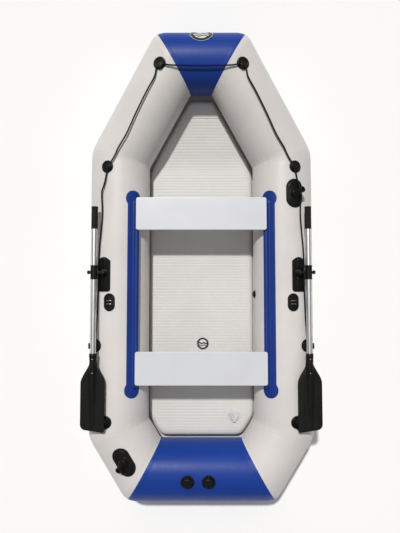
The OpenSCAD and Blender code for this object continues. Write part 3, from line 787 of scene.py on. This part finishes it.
# ---- floor
def inset_half_width(inset):
    """Half width of the ring's inside at a place along the boat, moved in from the axes."""
    pts = [RING[4], RING[3], RING[2], RING[1]]
    lines = []
    for a, b in zip(pts, pts[1:]):
        d = unit((b - a)[:2])
        n = np.array((d[1], -d[0]))
        if n[0] > 0:
            n = -n
        lines.append((a[:2] + n * inset, d))

    def width(y):
        return min(p[0] + d[0] * (y - p[1]) / d[1] for p, d in lines if abs(d[1]) > 1e-6)
    return width


def floor_rise(y):
    return FLOOR_SLOPE * max(0.0, y - SHOULDER_Y)


def fillet(points, radii, step=0.004):
    """Closed outline with its corners rounded."""
    out = []
    n = len(points)
    for i in range(n):
        a, b, c = (np.array(points[j % n], float) for j in (i - 1, i, i + 1))
        r = radii[i]
        u, v = unit(a - b), unit(c - b)
        if r <= 0:
            out.append(b)
            continue
        half = math.acos(np.clip(u @ v, -1, 1)) / 2
        reach = r / math.tan(half)
        center = b + unit(u + v) * (r / math.sin(half))
        p, q = b + u * reach, b + v * reach
        a0 = math.atan2(*(p - center)[::-1])
        a1 = math.atan2(*(q - center)[::-1])
        sweep = (a1 - a0 + math.pi) % (2 * math.pi) - math.pi
        count = max(4, int(abs(sweep) * r / step))
        for t in np.linspace(0, 1, count):
            out.append(center + r * np.array((math.cos(a0 + sweep * t), math.sin(a0 + sweep * t))))
    return np.array(out)


def outline_distance(points, outline):
    """Distance of each point to the closed outline."""
    best = np.full(len(points), 1e9)
    for a, b in zip(outline, np.roll(outline, -1, axis=0)):
        d = b - a
        length = d @ d
        if length < 1e-14:
            continue
        t = np.clip(((points - a) @ d) / length, 0, 1)
        best = np.minimum(best, np.linalg.norm(points - a - t[:, None] * d, axis=1))
    return best


def outline_half_width(outline):
    """Half width of a symmetric outline at y, from its starboard side."""
    right = outline[outline[:, 0] >= 0]
    right = right[np.argsort(right[:, 1])]

    def width(y):
        return float(np.interp(y, right[:, 1], right[:, 0]))
    return width


EDGE_STEPS = np.array([0.0, 0.0008, 0.0025, 0.0055, 0.0095, 0.015, 0.022, 0.032])


def edge_spaced(half, inner):
    """Places from -half to half, close together at both edges."""
    steps = EDGE_STEPS * min(1.0, half / 0.1)
    left = -half + steps
    mid = np.linspace(-half + steps[-1], half - steps[-1], inner + 2)[1:-1]
    return np.concatenate([left, mid, -left[::-1]])


AFT_Y = -END_Y + DECK_INSET
RIB_PITCH = 0.0195
RIB_OFFSETS = (-0.0050, -0.0030, -0.0016, -0.0006, 0.0006, 0.0016, 0.0030, 0.0050, 0.00975)
DECK_EDGE_R = 0.034
DECK_CORNERS = [0.075, 0.150, 0.30, 0.030]
SIDE_BULGE = ((0.2, 0.0022), (0.5, 0.0034), (0.8, 0.0022))
BEND_SOFT = 0.06
SQUASH_Y = 1.040
FOLD_Y = 1.004
FOLD_DEPTH = 0.0042
GROOVE_DEPTH = 0.00045
CROWN = 0.00012
SLOW_WAVE = 0.0008


def air_deck():
    """Inflated deck with round edges, cross ribs, a rounded bow end and a fold near it."""
    side = inset_half_width(DECK_INSET)
    arc_y = DECK_FRONT_Y - DECK_ARC_R
    full = side(0) - 1e-6
    search = np.linspace(-0.2, 0.2, 4001)
    quarter_corner = next(y for y in QUARTER_Y + search if side(y) >= full)
    bend = next(y for y in SHOULDER_Y + search if side(y) < full)
    meet = DECK_FRONT_Y
    while side(meet) ** 2 + (meet - arc_y) ** 2 > DECK_ARC_R ** 2:
        meet -= 0.0005
    top_angle = math.atan2(meet - arc_y, side(meet))
    arc = [(DECK_ARC_R * math.cos(a), arc_y + DECK_ARC_R * math.sin(a))
           for a in np.linspace(top_angle, math.pi - top_angle, 60)]
    right = [(side(AFT_Y), AFT_Y), (side(0), quarter_corner), (side(0), bend), arc[0]]
    left = [(-x, y) for x, y in right[::-1]]
    corners = right + arc[1:-1] + left
    radii = DECK_CORNERS + [0] * (len(arc) - 2) + DECK_CORNERS[::-1]
    outline = fillet(corners, radii)
    width = outline_half_width(outline)

    rows_y = list(AFT_Y + EDGE_STEPS[:-1])
    k = math.ceil((AFT_Y + DECK_EDGE_R) / RIB_PITCH)
    while k * RIB_PITCH < SQUASH_Y:
        rows_y += [k * RIB_PITCH + o for o in RIB_OFFSETS]
        k += 1
    rows_y += [FOLD_Y + o for o in RIB_OFFSETS[1:-2]]
    rows_y.sort()
    ribbed_to = rows_y[-1]
    rows_y += list(np.linspace(ribbed_to, DECK_FRONT_Y - EDGE_STEPS[-1], 92)[1:])
    rows_y += list(DECK_FRONT_Y - EDGE_STEPS[:-1][::-1])
    rows_y = np.array(rows_y)
    plan = []
    for y in rows_y:
        half = side(y) if y > meet - 0.01 else width(max(y, AFT_Y + 1e-5))
        x = edge_spaced(half, 30)
        yy = np.full_like(x, y)
        if y > ribbed_to:
            for _ in range(3):
                front = arc_y + np.sqrt(np.maximum(DECK_ARC_R ** 2 - x * x, 0))
                share = (y - ribbed_to) / (DECK_FRONT_Y - ribbed_to)
                yy = ribbed_to + share * (front - ribbed_to)
                reach = np.array([width(v) if v < meet else side(v) for v in yy])
                x = edge_spaced(half, 30) * reach / half
        plan.append(np.column_stack([x, yy]))
    plan = np.array(plan)
    rows, cols = plan.shape[:2]
    flat = plan.reshape(-1, 2)
    loop = border_loop(rows, cols)
    border = flat[loop]
    dist = outline_distance(flat, border)
    r = DECK_EDGE_R
    drop = np.where(dist < r, r - np.sqrt(np.maximum(r * r - (r - dist) ** 2, 0)), 0.0)
    rise = np.array([floor_rise(y) for y in flat[:, 1]])
    near = np.abs(flat[:, 1] - SHOULDER_Y) < BEND_SOFT
    t = flat[:, 1] - SHOULDER_Y + BEND_SOFT
    rise = np.where(near, FLOOR_SLOPE * t * t / (4 * BEND_SOFT), rise)
    off = np.abs((flat[:, 1] / RIB_PITCH + 0.5) % 1.0 - 0.5) * RIB_PITCH
    groove = np.exp(-(off / 0.0019) ** 2) * smooth_step(dist, 0.012, 0.026)
    crown = np.cos(2 * math.pi * off / RIB_PITCH) * smooth_step(dist, 0.012, 0.026)
    slow = np.sin(flat[:, 0] * 5.3 + 1.0) * np.sin(flat[:, 1] * 3.7) * smooth_step(dist, 0.0, 0.1)
    fold = np.exp(-((flat[:, 1] - FOLD_Y) / 0.0026) ** 2) * smooth_step(dist, 0.004, 0.02)
    top = (DECK_TOP + rise - drop - FOLD_DEPTH * fold - GROOVE_DEPTH * groove
           - CROWN * crown + SLOW_WAVE * slow)
    low = DECK_LOW + rise + drop + 0.0006
    verts = [np.column_stack([flat, top]), np.column_stack([flat, low])]
    tangent = np.roll(border, -1, axis=0) - np.roll(border, 1, axis=0)
    out = np.column_stack([tangent[:, 1], -tangent[:, 0]])
    out /= np.maximum(np.linalg.norm(out, axis=1), 1e-9)[:, None]
    for share, bulge in SIDE_BULGE:
        z = top[loop] * (1 - share) + low[loop] * share
        verts.append(np.column_stack([border + out * bulge, z]))
    deck = mesh_object("air_deck_panel", np.vstack(verts), slab(rows, cols, len(SIDE_BULGE)),
                       pvc_deck, "deck_pvc")
    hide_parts("air_deck")
    return deck


DECK_VALVE = (0.218, -0.989, DECK_TOP)
DECK_BORE_DEPTH = 0.126
deck = air_deck()
cut_bore(deck, DECK_VALVE, (0, 0, 1), VALVE_BORE_R, DECK_BORE_DEPTH)
sharpen(deck, 50.0)


SHEET_INSET = 0.1035
SHEET_BOW_INSET = 0.074
SHEET_T = 0.0016
SHEET_SAG, SHEET_RIPPLE = 0.004, 0.0012


def bottom_sheet():
    """The fabric bottom, stretched between the tubes, with a slight sag between them."""
    side = inset_half_width(SHEET_INSET)
    ys = np.linspace(-END_Y + SHEET_INSET, END_Y - SHEET_BOW_INSET, 110)
    us = np.linspace(-1, 1, 41)
    top = []
    for y in ys:
        half = side(y)
        for u in us:
            x = half * u
            edge = min(half - abs(x), y - ys[0], ys[-1] - y)
            sag = -SHEET_SAG * smooth_step(edge, 0.0, 0.12)
            ripple = SHEET_RIPPLE * math.sin(9 * x + 2 * y) * math.sin(6 * y - 3 * x)
            ripple *= float(smooth_step(edge, 0.0, 0.06))
            top.append((x, y, SHEET_Z + 0.0012 + floor_rise(y) + sag + ripple))
    top = np.array(top)
    rows, cols = len(ys), len(us)
    verts = np.vstack([top, top - (0, 0, SHEET_T)])
    sheet = mesh_object("bottom_fabric", verts, slab(rows, cols), pvc_plain, "grey_pvc")
    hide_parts("bottom_sheet")
    area = 2 * float(np.trapz([side(y) for y in ys], ys))
    width, length = 2 * side(0.0), float(ys[-1] - ys[0])


bottom_sheet()


# ---- seams under the ring
TAPE_FROM, TAPE_TO = math.radians(-128.5), math.radians(-113.0)
TAPE_GAP, TAPE_T = 0.0003, 0.0009
BOW_INDEX = 4


def seam_tape(name, i):
    """Glued tape where the bottom sheet joins one tube of the ring, below its inner side."""
    steps = 9
    angles = np.linspace(TAPE_FROM, TAPE_TO, steps)
    low = tube_grid(i, TUBE_R + TAPE_GAP, near_far, angles)[0]
    high = tube_grid(i, TUBE_R + TAPE_GAP + TAPE_T, near_far, angles)[0]
    edge = np.minimum(np.arange(steps), steps - 1 - np.arange(steps))
    soft = np.clip(edge, 0, 1)[:, None]
    rings = []
    for k in range(low.shape[1]):
        top = low[:, k] * (1 - soft) + high[:, k] * soft
        rings.append(np.vstack([top, low[-2:0:-1, k]]))
    tube_object(name, rings, pvc_plain, "grey_pvc")


# The section's angle is 0 outboard and 90 up; the bottom sheet joins at about -123 degrees.
for i, node in enumerate(TUBE_NODES):
    if i != BOW_INDEX:
        seam_tape(node.replace("tube", "tape"), i)


# ---- seat rails and seats
def seat_rail(side_name, sign):
    """Flat strip with round ends and a bead along it that the seat hooks run on."""
    tilt, bead_tilt = math.radians(-33.5), math.radians(-38.0)
    half_w, end_r, thick, edge_r = 0.0395, 0.052, 0.0021, 0.0016
    bead_r, bead_lift = 0.0148, 0.0150
    fore, aft = 0.420, -0.781
    bead_fore, bead_aft, bead_end = 0.411, -0.779, 0.022
    reach = bead_r + 0.0055
    ys = list(aft - end_r + np.linspace(0, end_r, 15))
    ys += list(np.linspace(aft, aft + 0.05, 9)[1:])
    ys += list(np.linspace(aft + 0.05, fore - 0.05, 150)[1:-1])
    ys += list(np.linspace(fore - 0.05, fore, 9))
    ys += list(fore + np.linspace(0, end_r, 15)[1:])
    ys = np.array(ys)
    bead_at = TUBE_R * (bead_tilt - tilt)
    rings = []
    for y in ys:
        d = min(fore - y, y - aft)
        w = math.sqrt(max(end_r ** 2 - d * d, 1e-8))
        w = max(w, 0.0006 if d < 0 else half_w)
        ramp = float(smooth_step(y, bead_aft, bead_aft + bead_end) *
                     (1 - smooth_step(y, bead_fore - bead_end, bead_fore)))
        s = np.linspace(-w, w, 46)
        rise = []
        for v in s:
            edge = w - abs(v)
            h = thick * min(1.0, math.sqrt(max(edge, 0) / edge_r))
            d = abs(v - bead_at)
            if d < reach:
                top = bead_lift + math.sqrt(max(bead_r ** 2 - d * d, 0.0))
                swell = 0.5 + 0.5 * math.cos(math.pi * d / reach)
                skirt = thick + (bead_lift + 0.002) * swell ** 0.8
                bump = max(top if d < bead_r * 0.92 else 0.0, skirt)
                h = h + (max(bump, h) - h) * ramp
            near_bead = math.exp(-((v - bead_at) / 0.02) ** 2)
            wrinkle = 0.00035 * math.sin(260 * y + 14 * v) * near_bead
            rise.append(h + wrinkle * ramp * (h > 0.001))
        angle = tilt + s / TUBE_R
        top, low = (
            np.column_stack([(SIDE_X + radius * np.sin(angle)) * sign, np.full_like(s, y),
                             TUBE_R + radius * np.cos(angle)])
            for radius in (TUBE_R + 0.0002 + np.array(rise), TUBE_R + 0.0001))
        rings.append(np.vstack([top, low[::-1]]))
    verts = np.vstack(rings)
    cloth = np.column_stack([verts[:, 1], verts[:, 0] * 1.3, np.zeros(len(verts))])
    rail = tube_object(side_name + "_rail_strip", rings, pvc_rail, "rail_pvc")
    corner_vectors(rail, "cloth", cloth)
    sharpen(rail, 55.0)
    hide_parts(side_name + "_seat_rail")


for side_name, sign in SIDES:
    seat_rail(side_name, sign)


def rounded_board(name, body, node, corner=0.014, edge=0.0024):
    """Seat board with rounded corners and softly broken edges."""
    low_c, high_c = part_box(node)
    cx, cy = (low_c.x + high_c.x) / 2, (low_c.y + high_c.y) / 2
    hx, hy = (high_c.x - low_c.x) / 2, (high_c.y - low_c.y) / 2
    outline = fillet([(hx, -hy), (hx, hy), (-hx, hy), (-hx, -hy)], [corner] * 4, 0.002)
    rings = []
    turn = np.linspace(0, math.pi / 2, 5)
    levels = [(edge * (1 - math.sin(a)), low_c.z + edge * (1 - math.cos(a))) for a in turn]
    levels += [(edge * (1 - math.cos(a)), high_c.z - edge * (1 - math.sin(a))) for a in turn]
    levels.append((edge + 0.004, high_c.z))
    levels.insert(0, (edge + 0.004, low_c.z))
    for inset, z in levels:
        scale = np.array(((hx - inset) / hx, (hy - inset) / hy))
        rings.append(np.column_stack([outline * scale + (cx, cy), np.full(len(outline), z)]))
    board = tube_object(name, rings, board_paint, "seat_plastic", body)
    sharpen(board, 30.0)
    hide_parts(node)


rounded_board("front_bench", "front_seat", "front_seat_board")
rounded_board("rear_bench", "rear_seat", "rear_seat_board")


# ---- oars
def to_oar(points, sign):
    """Moves points from the oar's own frame, starboard hand, to the boat."""
    p = np.array(points, float)
    return np.column_stack([(p[:, 0] + OAR_X) * sign, p[:, 1] + OAR_Y, p[:, 2] + OAR_Z])


NECK_R = 0.0215
NECK_END_Y = -0.504
BLADE_HALF_W = 0.074
BLADE_HALF_T = 0.0035
RIB_H, RIB_HALF_W = 0.0190, 0.0205
SIDE_RIB_H, SIDE_RIB_AT = 0.0016, 0.58


def oar_blade(side_name, sign):
    """Blade with a round neck that runs out into a middle rib, and two side ribs."""
    half, cols = BLADE_HALF_W, 41
    tip_in, slant = -0.976, 0.022
    neck_low, shaped_from = -0.566, -0.80
    outer_r, inner_r = 0.030, 0.014
    ys = np.concatenate([np.linspace(NECK_END_Y, neck_low, 12),
                         np.linspace(neck_low, tip_in, 84)[1:]])
    top_rows, low_rows = [], []
    for y in ys:
        t = float(np.clip((neck_low + 0.012 - y) / 0.125, 0, 1))
        spread = t * t * (3 - 2 * t)
        wide = NECK_R + (half - NECK_R) * spread ** 0.85
        body = float(smooth_step(-y, 0.548, 0.640))
        fade = float(np.clip((-y - 0.600) / 0.360, 0, 1))
        rib_h = RIB_H * (1 - 0.80 * fade)
        rib_w = RIB_HALF_W * (1 - 0.62 * fade)
        s = np.sin(np.linspace(-math.pi / 2, math.pi / 2, cols))
        row_top, row_low = [], []
        for v in s:
            x = wide * v
            round_z = NECK_R * math.sqrt(max(0.0, 1 - (x / NECK_R) ** 2))
            flat = BLADE_HALF_T * math.sqrt(max(0.0, 1 - v ** 8))
            rib = rib_h * math.exp(-(x / rib_w) ** 2)
            off = abs(x) - SIDE_RIB_AT * wide
            side_rib = SIDE_RIB_H * math.exp(-(off / 0.005) ** 2) * body
            neck = round_z * (1 - body)
            row_top.append((x, y, neck + (flat + rib + side_rib) * body))
            row_low.append((x, y, -(neck + (flat + rib * 0.8) * body)))
        top_rows.append(row_top)
        low_rows.append(row_low)
    top_rows, low_rows = np.array(top_rows), np.array(low_rows)
    for grid in (top_rows, low_rows):
        for place in np.ndindex(*grid.shape[:2]):
            x, y, z = grid[place]
            if y >= shaped_from:
                continue
            edge_y = tip_in + slant * (x + half) / (2 * half)
            for corner, at in ((outer_r, half - outer_r), (inner_r, inner_r - half)):
                over = (x - at) if at > 0 else (at - x)
                if over > 0:
                    over = min(over, corner)
                    edge_y = edge_y + corner - math.sqrt(max(corner ** 2 - over ** 2, 0.0))
            share = (y - shaped_from) / (tip_in - shaped_from)
            new_y = shaped_from + share * (edge_y - shaped_from)
            thin = smooth_step(abs(new_y - edge_y), 0.0, 0.006)
            grid[place] = (x, new_y, z * (0.25 + 0.75 * float(thin)))
    verts = np.vstack([top_rows.reshape(-1, 3), low_rows.reshape(-1, 3)])
    blade = mesh_object(side_name + "_blade", to_oar(verts, sign), slab(len(ys), cols),
                        blade_plastic, "black_plastic", side_name + "_oar")
    with editing(blade) as work:
        bmesh.ops.remove_doubles(work, verts=work.verts, dist=2e-5)
        bmesh.ops.recalc_face_normals(work, faces=work.faces)
    ring_sleeve(side_name + "_blade_collar", sign, [
        (-0.4975, 0.0173), (-0.4975, 0.0222), (-0.4990, 0.0232), (-0.5080, 0.0232),
        (-0.5100, 0.0240), (-0.5150, 0.0240), (-0.5170, 0.0228), (-0.5330, 0.0222),
        (-0.5350, 0.0173)], blade_plastic, "black_plastic", side_name + "_oar")
    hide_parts(side_name + "_oar_blade")
    sharpen(blade, 50.0)


def ring_sleeve(name, sign, profile, material, slot, body):
    """Turned piece round the oar's axis from (along, radius) pairs, closed into a ring."""
    sides = 48
    verts = [(r * math.cos(a), along, r * math.sin(a))
             for along, r in profile for a in circle(sides)]
    obj = mesh_object(name, to_oar(verts, sign), ring_faces(len(profile), sides), material,
                      slot, body)
    sharpen(obj, 40.0)
    return obj


def oar_grip(side_name, sign):
    """Foam rubber grip with finger rings and a domed end."""
    profile = [(0.2700, 0.0172), (0.2700, 0.0200), (0.2706, 0.0208), (0.2750, 0.0209),
               (0.2762, 0.0200)]
    y = 0.280
    while y < 0.398:
        profile += [(y, 0.0200), (y + 0.0008, 0.01925), (y + 0.0020, 0.01925),
                    (y + 0.0028, 0.0200)]
        y += 0.0095
    profile += [(0.4010, 0.0200), (0.4020, 0.0208), (0.4070, 0.0210), (0.4092, 0.0196),
                (0.4100, 0.0160), (0.4100, 0.0002), (0.4052, 0.0002), (0.4052, 0.0172)]
    grip = ring_sleeve(side_name + "_grip", sign, profile, grip_rubber, "grip_rubber",
                       side_name + "_oar")
    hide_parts(side_name + "_oar_grip")


def dome(name, center, radius, height, material, slot, body):
    """Low rivet head."""
    rings, sides = 6, 24
    verts = []
    for a in np.arange(rings) * math.pi / 2 / rings:
        reach = radius * math.cos(a)
        verts += [(center[0] + reach * math.cos(b), center[1] + reach * math.sin(b),
                   center[2] + height * math.sin(a)) for b in circle(sides)]
    faces = quads(rings, sides, True)
    verts.append((center[0], center[1], center[2] + height))
    top = (rings - 1) * sides
    faces += [(top + k, top + (k + 1) % sides, len(verts) - 1) for k in range(sides)]
    faces.append(tuple(range(sides - 1, -1, -1)))
    mesh_object(name, verts, faces, material, slot, body)


def keeper_bar(name, place, turn, sign, along):
    """Round steel bar with domed ends, across a strap pad and a little above it."""
    sides, r, half = 12, BAR_R, BAR_HALF
    a = circle(sides)
    rings = []
    for x, share in ((-half - r, 0.05), (-half - 0.7 * r, 0.71), (-half, 1.0), (half, 1.0),
                     (half + 0.7 * r, 0.71), (half + r, 0.05)):
        local = np.column_stack([np.full(sides, x), along + r * share * np.cos(a),
                                 TUBE_R + BAR_LIFT + r * share * np.sin(a)
                                 - x * x / (2 * TUBE_R)])
        rings.append((place + local @ turn.T) * (sign, 1, 1))
    tube_object(name, rings, steel, "steel")


PAD_Y, PAD_TILT = -0.237, 11
RIVET_PLACE, RIVET_R, RIVET_H = (0.0, -0.615, 0.0205), 0.0034, 0.002
BAR_R, BAR_HALF, BAR_LIFT = 0.0024, 0.015, 0.0076
for side_name, sign in SIDES:
    oar_blade(side_name, sign)
    oar_grip(side_name, sign)
    dome(side_name + "_blade_rivet", to_oar([RIVET_PLACE], sign)[0], RIVET_R, RIVET_H,
         hook_metal, "hook_aluminium", side_name + "_oar")
    place, turn = on_tube(QUARTER, SHOULDER, PAD_Y - QUARTER_Y, PAD_TILT)
    for k, along in enumerate((0.010, -0.010)):
        keeper_bar(f"{side_name}_keeper_bar_{k + 1}", place, turn, sign, along)


# ---- moulded fittings
for node in ("port_oarlock_base", "starboard_oarlock_base", "port_strap_pad",
             "starboard_strap_pad", "side_rod_socket", "stern_rod_socket", "relief_valve"):
    moulded(node, black_rubber, 0.0013, 8)
moulded("rope_eyelets", black_rubber, 0.0012, 6, 0.3)
for side_name, sign in SIDES:
    for part in ("oarlock_head", "oar_collar", "clamp_knob"):
        moulded(f"{side_name}_{part}", black_plastic, 0.0007, 4, 0.4)
    for part in ("valve_body", "valve_cap"):
        moulded(f"{side_name}_{part}", black_plastic, 0.0008, 4, 0.35)
for part in ("valve_body", "valve_cap"):
    moulded(f"deck_{part}", grey_plastic, 0.0008, 4, 0.35)


# ---- badges
def roundel():
    """Plain generic roundel: a thin ring round a pale disc with two waves, on dark vinyl."""
    s = Shader("roundel", 0.35)
    axes = s.split(s.attribute("badge"))
    x, y = axes[0], axes[1]
    radius = s.math("SQRT", s.math("ADD", s.math("MULTIPLY", x, x), s.math("MULTIPLY", y, y)))

    def band(value, low_v, high_v):
        return s.math("MULTIPLY", s.math("GREATER_THAN", value, low_v),
                      s.math("LESS_THAN", value, high_v))
    ring = band(radius, 0.955, 0.985)
    disc = s.math("LESS_THAN", radius, 0.66)
    wave = s.math("MULTIPLY", s.wave(x, 9.0), 0.09)
    level = s.math("SUBTRACT", y, wave)
    stripes = s.math("MAXIMUM", band(level, -0.06, 0.20), band(level, -0.40, -0.22))
    ink = s.math("MULTIPLY", disc, stripes)
    white = s.math("MAXIMUM", ring, s.math("SUBTRACT", disc, ink, True))
    worn = s.noise(s.object, 220.0, 4.0)
    dark = s.mix(worn, rgb(0.010, 0.010, 0.012), rgb(0.024, 0.024, 0.028))
    pale = s.mix(worn, rgb(0.66, 0.66, 0.66), rgb(0.80, 0.80, 0.79))
    return s.finish(s.mix(white, dark, pale), None, s.bump(worn, 0.0002, 0.3))


badge_vinyl = roundel()
BADGE_T, BADGE_LOW = 0.0011, 0.0001


def badge(name, node, radius, point_at):
    """Thin printed disc that follows the surface under it; point_at maps (x, y, lift)."""
    sides = 72
    rims = [(radius * k / 9, BADGE_T) for k in range(1, 9)]
    rims += [(radius - 0.0004, BADGE_T), (radius, BADGE_T * 0.6), (radius, BADGE_LOW)]
    verts, local = [point_at(0, 0, BADGE_T)], [(0, 0, 0)]
    for r, lift in rims:
        for a in circle(sides):
            verts.append(point_at(r * math.cos(a), r * math.sin(a), lift))
            local.append((r * math.cos(a) / radius, r * math.sin(a) / radius, 0))
    verts.append(point_at(0, 0, BADGE_LOW))
    local.append((0, 0, 0))
    faces = [(0, 1 + k, 1 + (k + 1) % sides) for k in range(sides)]
    for r in range(len(rims) - 1):
        a0, b0 = 1 + r * sides, 1 + (r + 1) * sides
        faces += [(a0 + k, b0 + k, b0 + (k + 1) % sides, a0 + (k + 1) % sides)
                  for k in range(sides)]
    faces += [(b0 + k, len(verts) - 1, b0 + (k + 1) % sides) for k in range(sides)]
    obj = mesh_object(name, verts, faces, badge_vinyl, "badge_vinyl")
    corner_vectors(obj, "badge", local)
    sharpen(obj, 40.0)
    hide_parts(node)


BOW_BADGE_TILT, BOW_BADGE_R, BOW_BADGE_GAP = -43, 0.074, 0.0012
DECK_BADGE_R = 0.041
DECK_BADGE = np.array((0.010, -0.516, DECK_TOP + 0.0009))
bow_place, bow_turn = on_tube(RING[5], RING[4], BOW_HALF, BOW_BADGE_TILT)


def on_bow(x, y, lift):
    a = x / TUBE_R
    r = TUBE_R + BOW_BADGE_GAP + lift
    return bow_place + bow_turn @ np.array((r * math.sin(a), y, r * math.cos(a)))


badge("bow_roundel", "bow_badge", BOW_BADGE_R, lambda x, y, h: on_bow(-y, x, h))
badge("deck_roundel", "deck_badge", DECK_BADGE_R, lambda x, y, h: DECK_BADGE + (x, y, h))

# ---- plain materials on CAD nodes
PLAIN = {
    "baffle": pvc_plain, "seat_hooks": hook_metal, "seat_screws": steel,
    "oar_shaft": shaft_metal, "blade_button": steel,
    "deck_valve_stem": grey_plastic, "valve_stem": black_plastic,
}
for name, node in NODES.items():
    kind = next((ending for ending in PLAIN if name.endswith(ending)), None)
    node.data.materials.clear()
    node.data.materials.append(PLAIN.get(kind, black_rubber))

# ---- studio
scene = bpy.context.scene
view = scene.view_settings
view.view_transform, view.look, view.exposure, view.gamma = "Standard", "None", 0.0, 1.0

world = bpy.data.worlds.new("studio")
scene.world = world
world.use_nodes = True
sky = Tree(world.node_tree)
background = sky.tree.nodes["Background"]
LOW_SKY, ZENITH = rgb(0.11, 0.11, 0.112), rgb(0.44, 0.44, 0.44)
direction = sky.node("TexCoord")["Generated"]
ramp = sky.tree.nodes.new("ShaderNodeValToRGB")
sky.put(ramp.inputs[0], sky.node("SeparateXYZ", {0: direction})["Z"])
low_stop, high_stop = ramp.color_ramp.elements
low_stop.position, low_stop.color = 0.0, LOW_SKY
high_stop.position, high_stop.color = 1.0, ZENITH
ramp.color_ramp.elements.new(0.35).color = LOW_SKY
seen = sky.node("LightPath")["Is Camera Ray"]
sky.put(background.inputs["Color"], sky.mix(seen, ramp.outputs[0], rgb(1.0, 1.0, 1.0)))
sky.put(background.inputs["Strength"], 1.0)

SUN_FROM = (-0.149, 0.49, 1.0)
sun_data = bpy.data.lights.new("key", "SUN")
sun_data.energy = 2.58
sun_data.angle = math.radians(3.0)
sun_data.color = (1.0, 0.985, 0.96)
sun = bpy.data.objects.new("key", sun_data)
scene.collection.objects.link(sun)
sun.rotation_mode = "QUATERNION"
sun.rotation_quaternion = Vector(SUN_FROM).to_track_quat("Z", "Y")

floor_shader = Shader("studio_floor", 0.9)
floor_noise = floor_shader.noise(floor_shader.object, 2.0, 3.0)
floor_tint = floor_shader.mix(floor_noise, rgb(0.94, 0.94, 0.94), rgb(0.96, 0.96, 0.96))
floor_shader.finish(floor_tint)
FLOOR_SIZE, FLOOR_Z = 120.0, -0.0015
bpy.ops.mesh.primitive_plane_add(size=FLOOR_SIZE, location=(0, 0, FLOOR_Z))
floor = bpy.context.object
floor.name = "studio_floor"
floor.data.materials.append(floor_shader.mat)
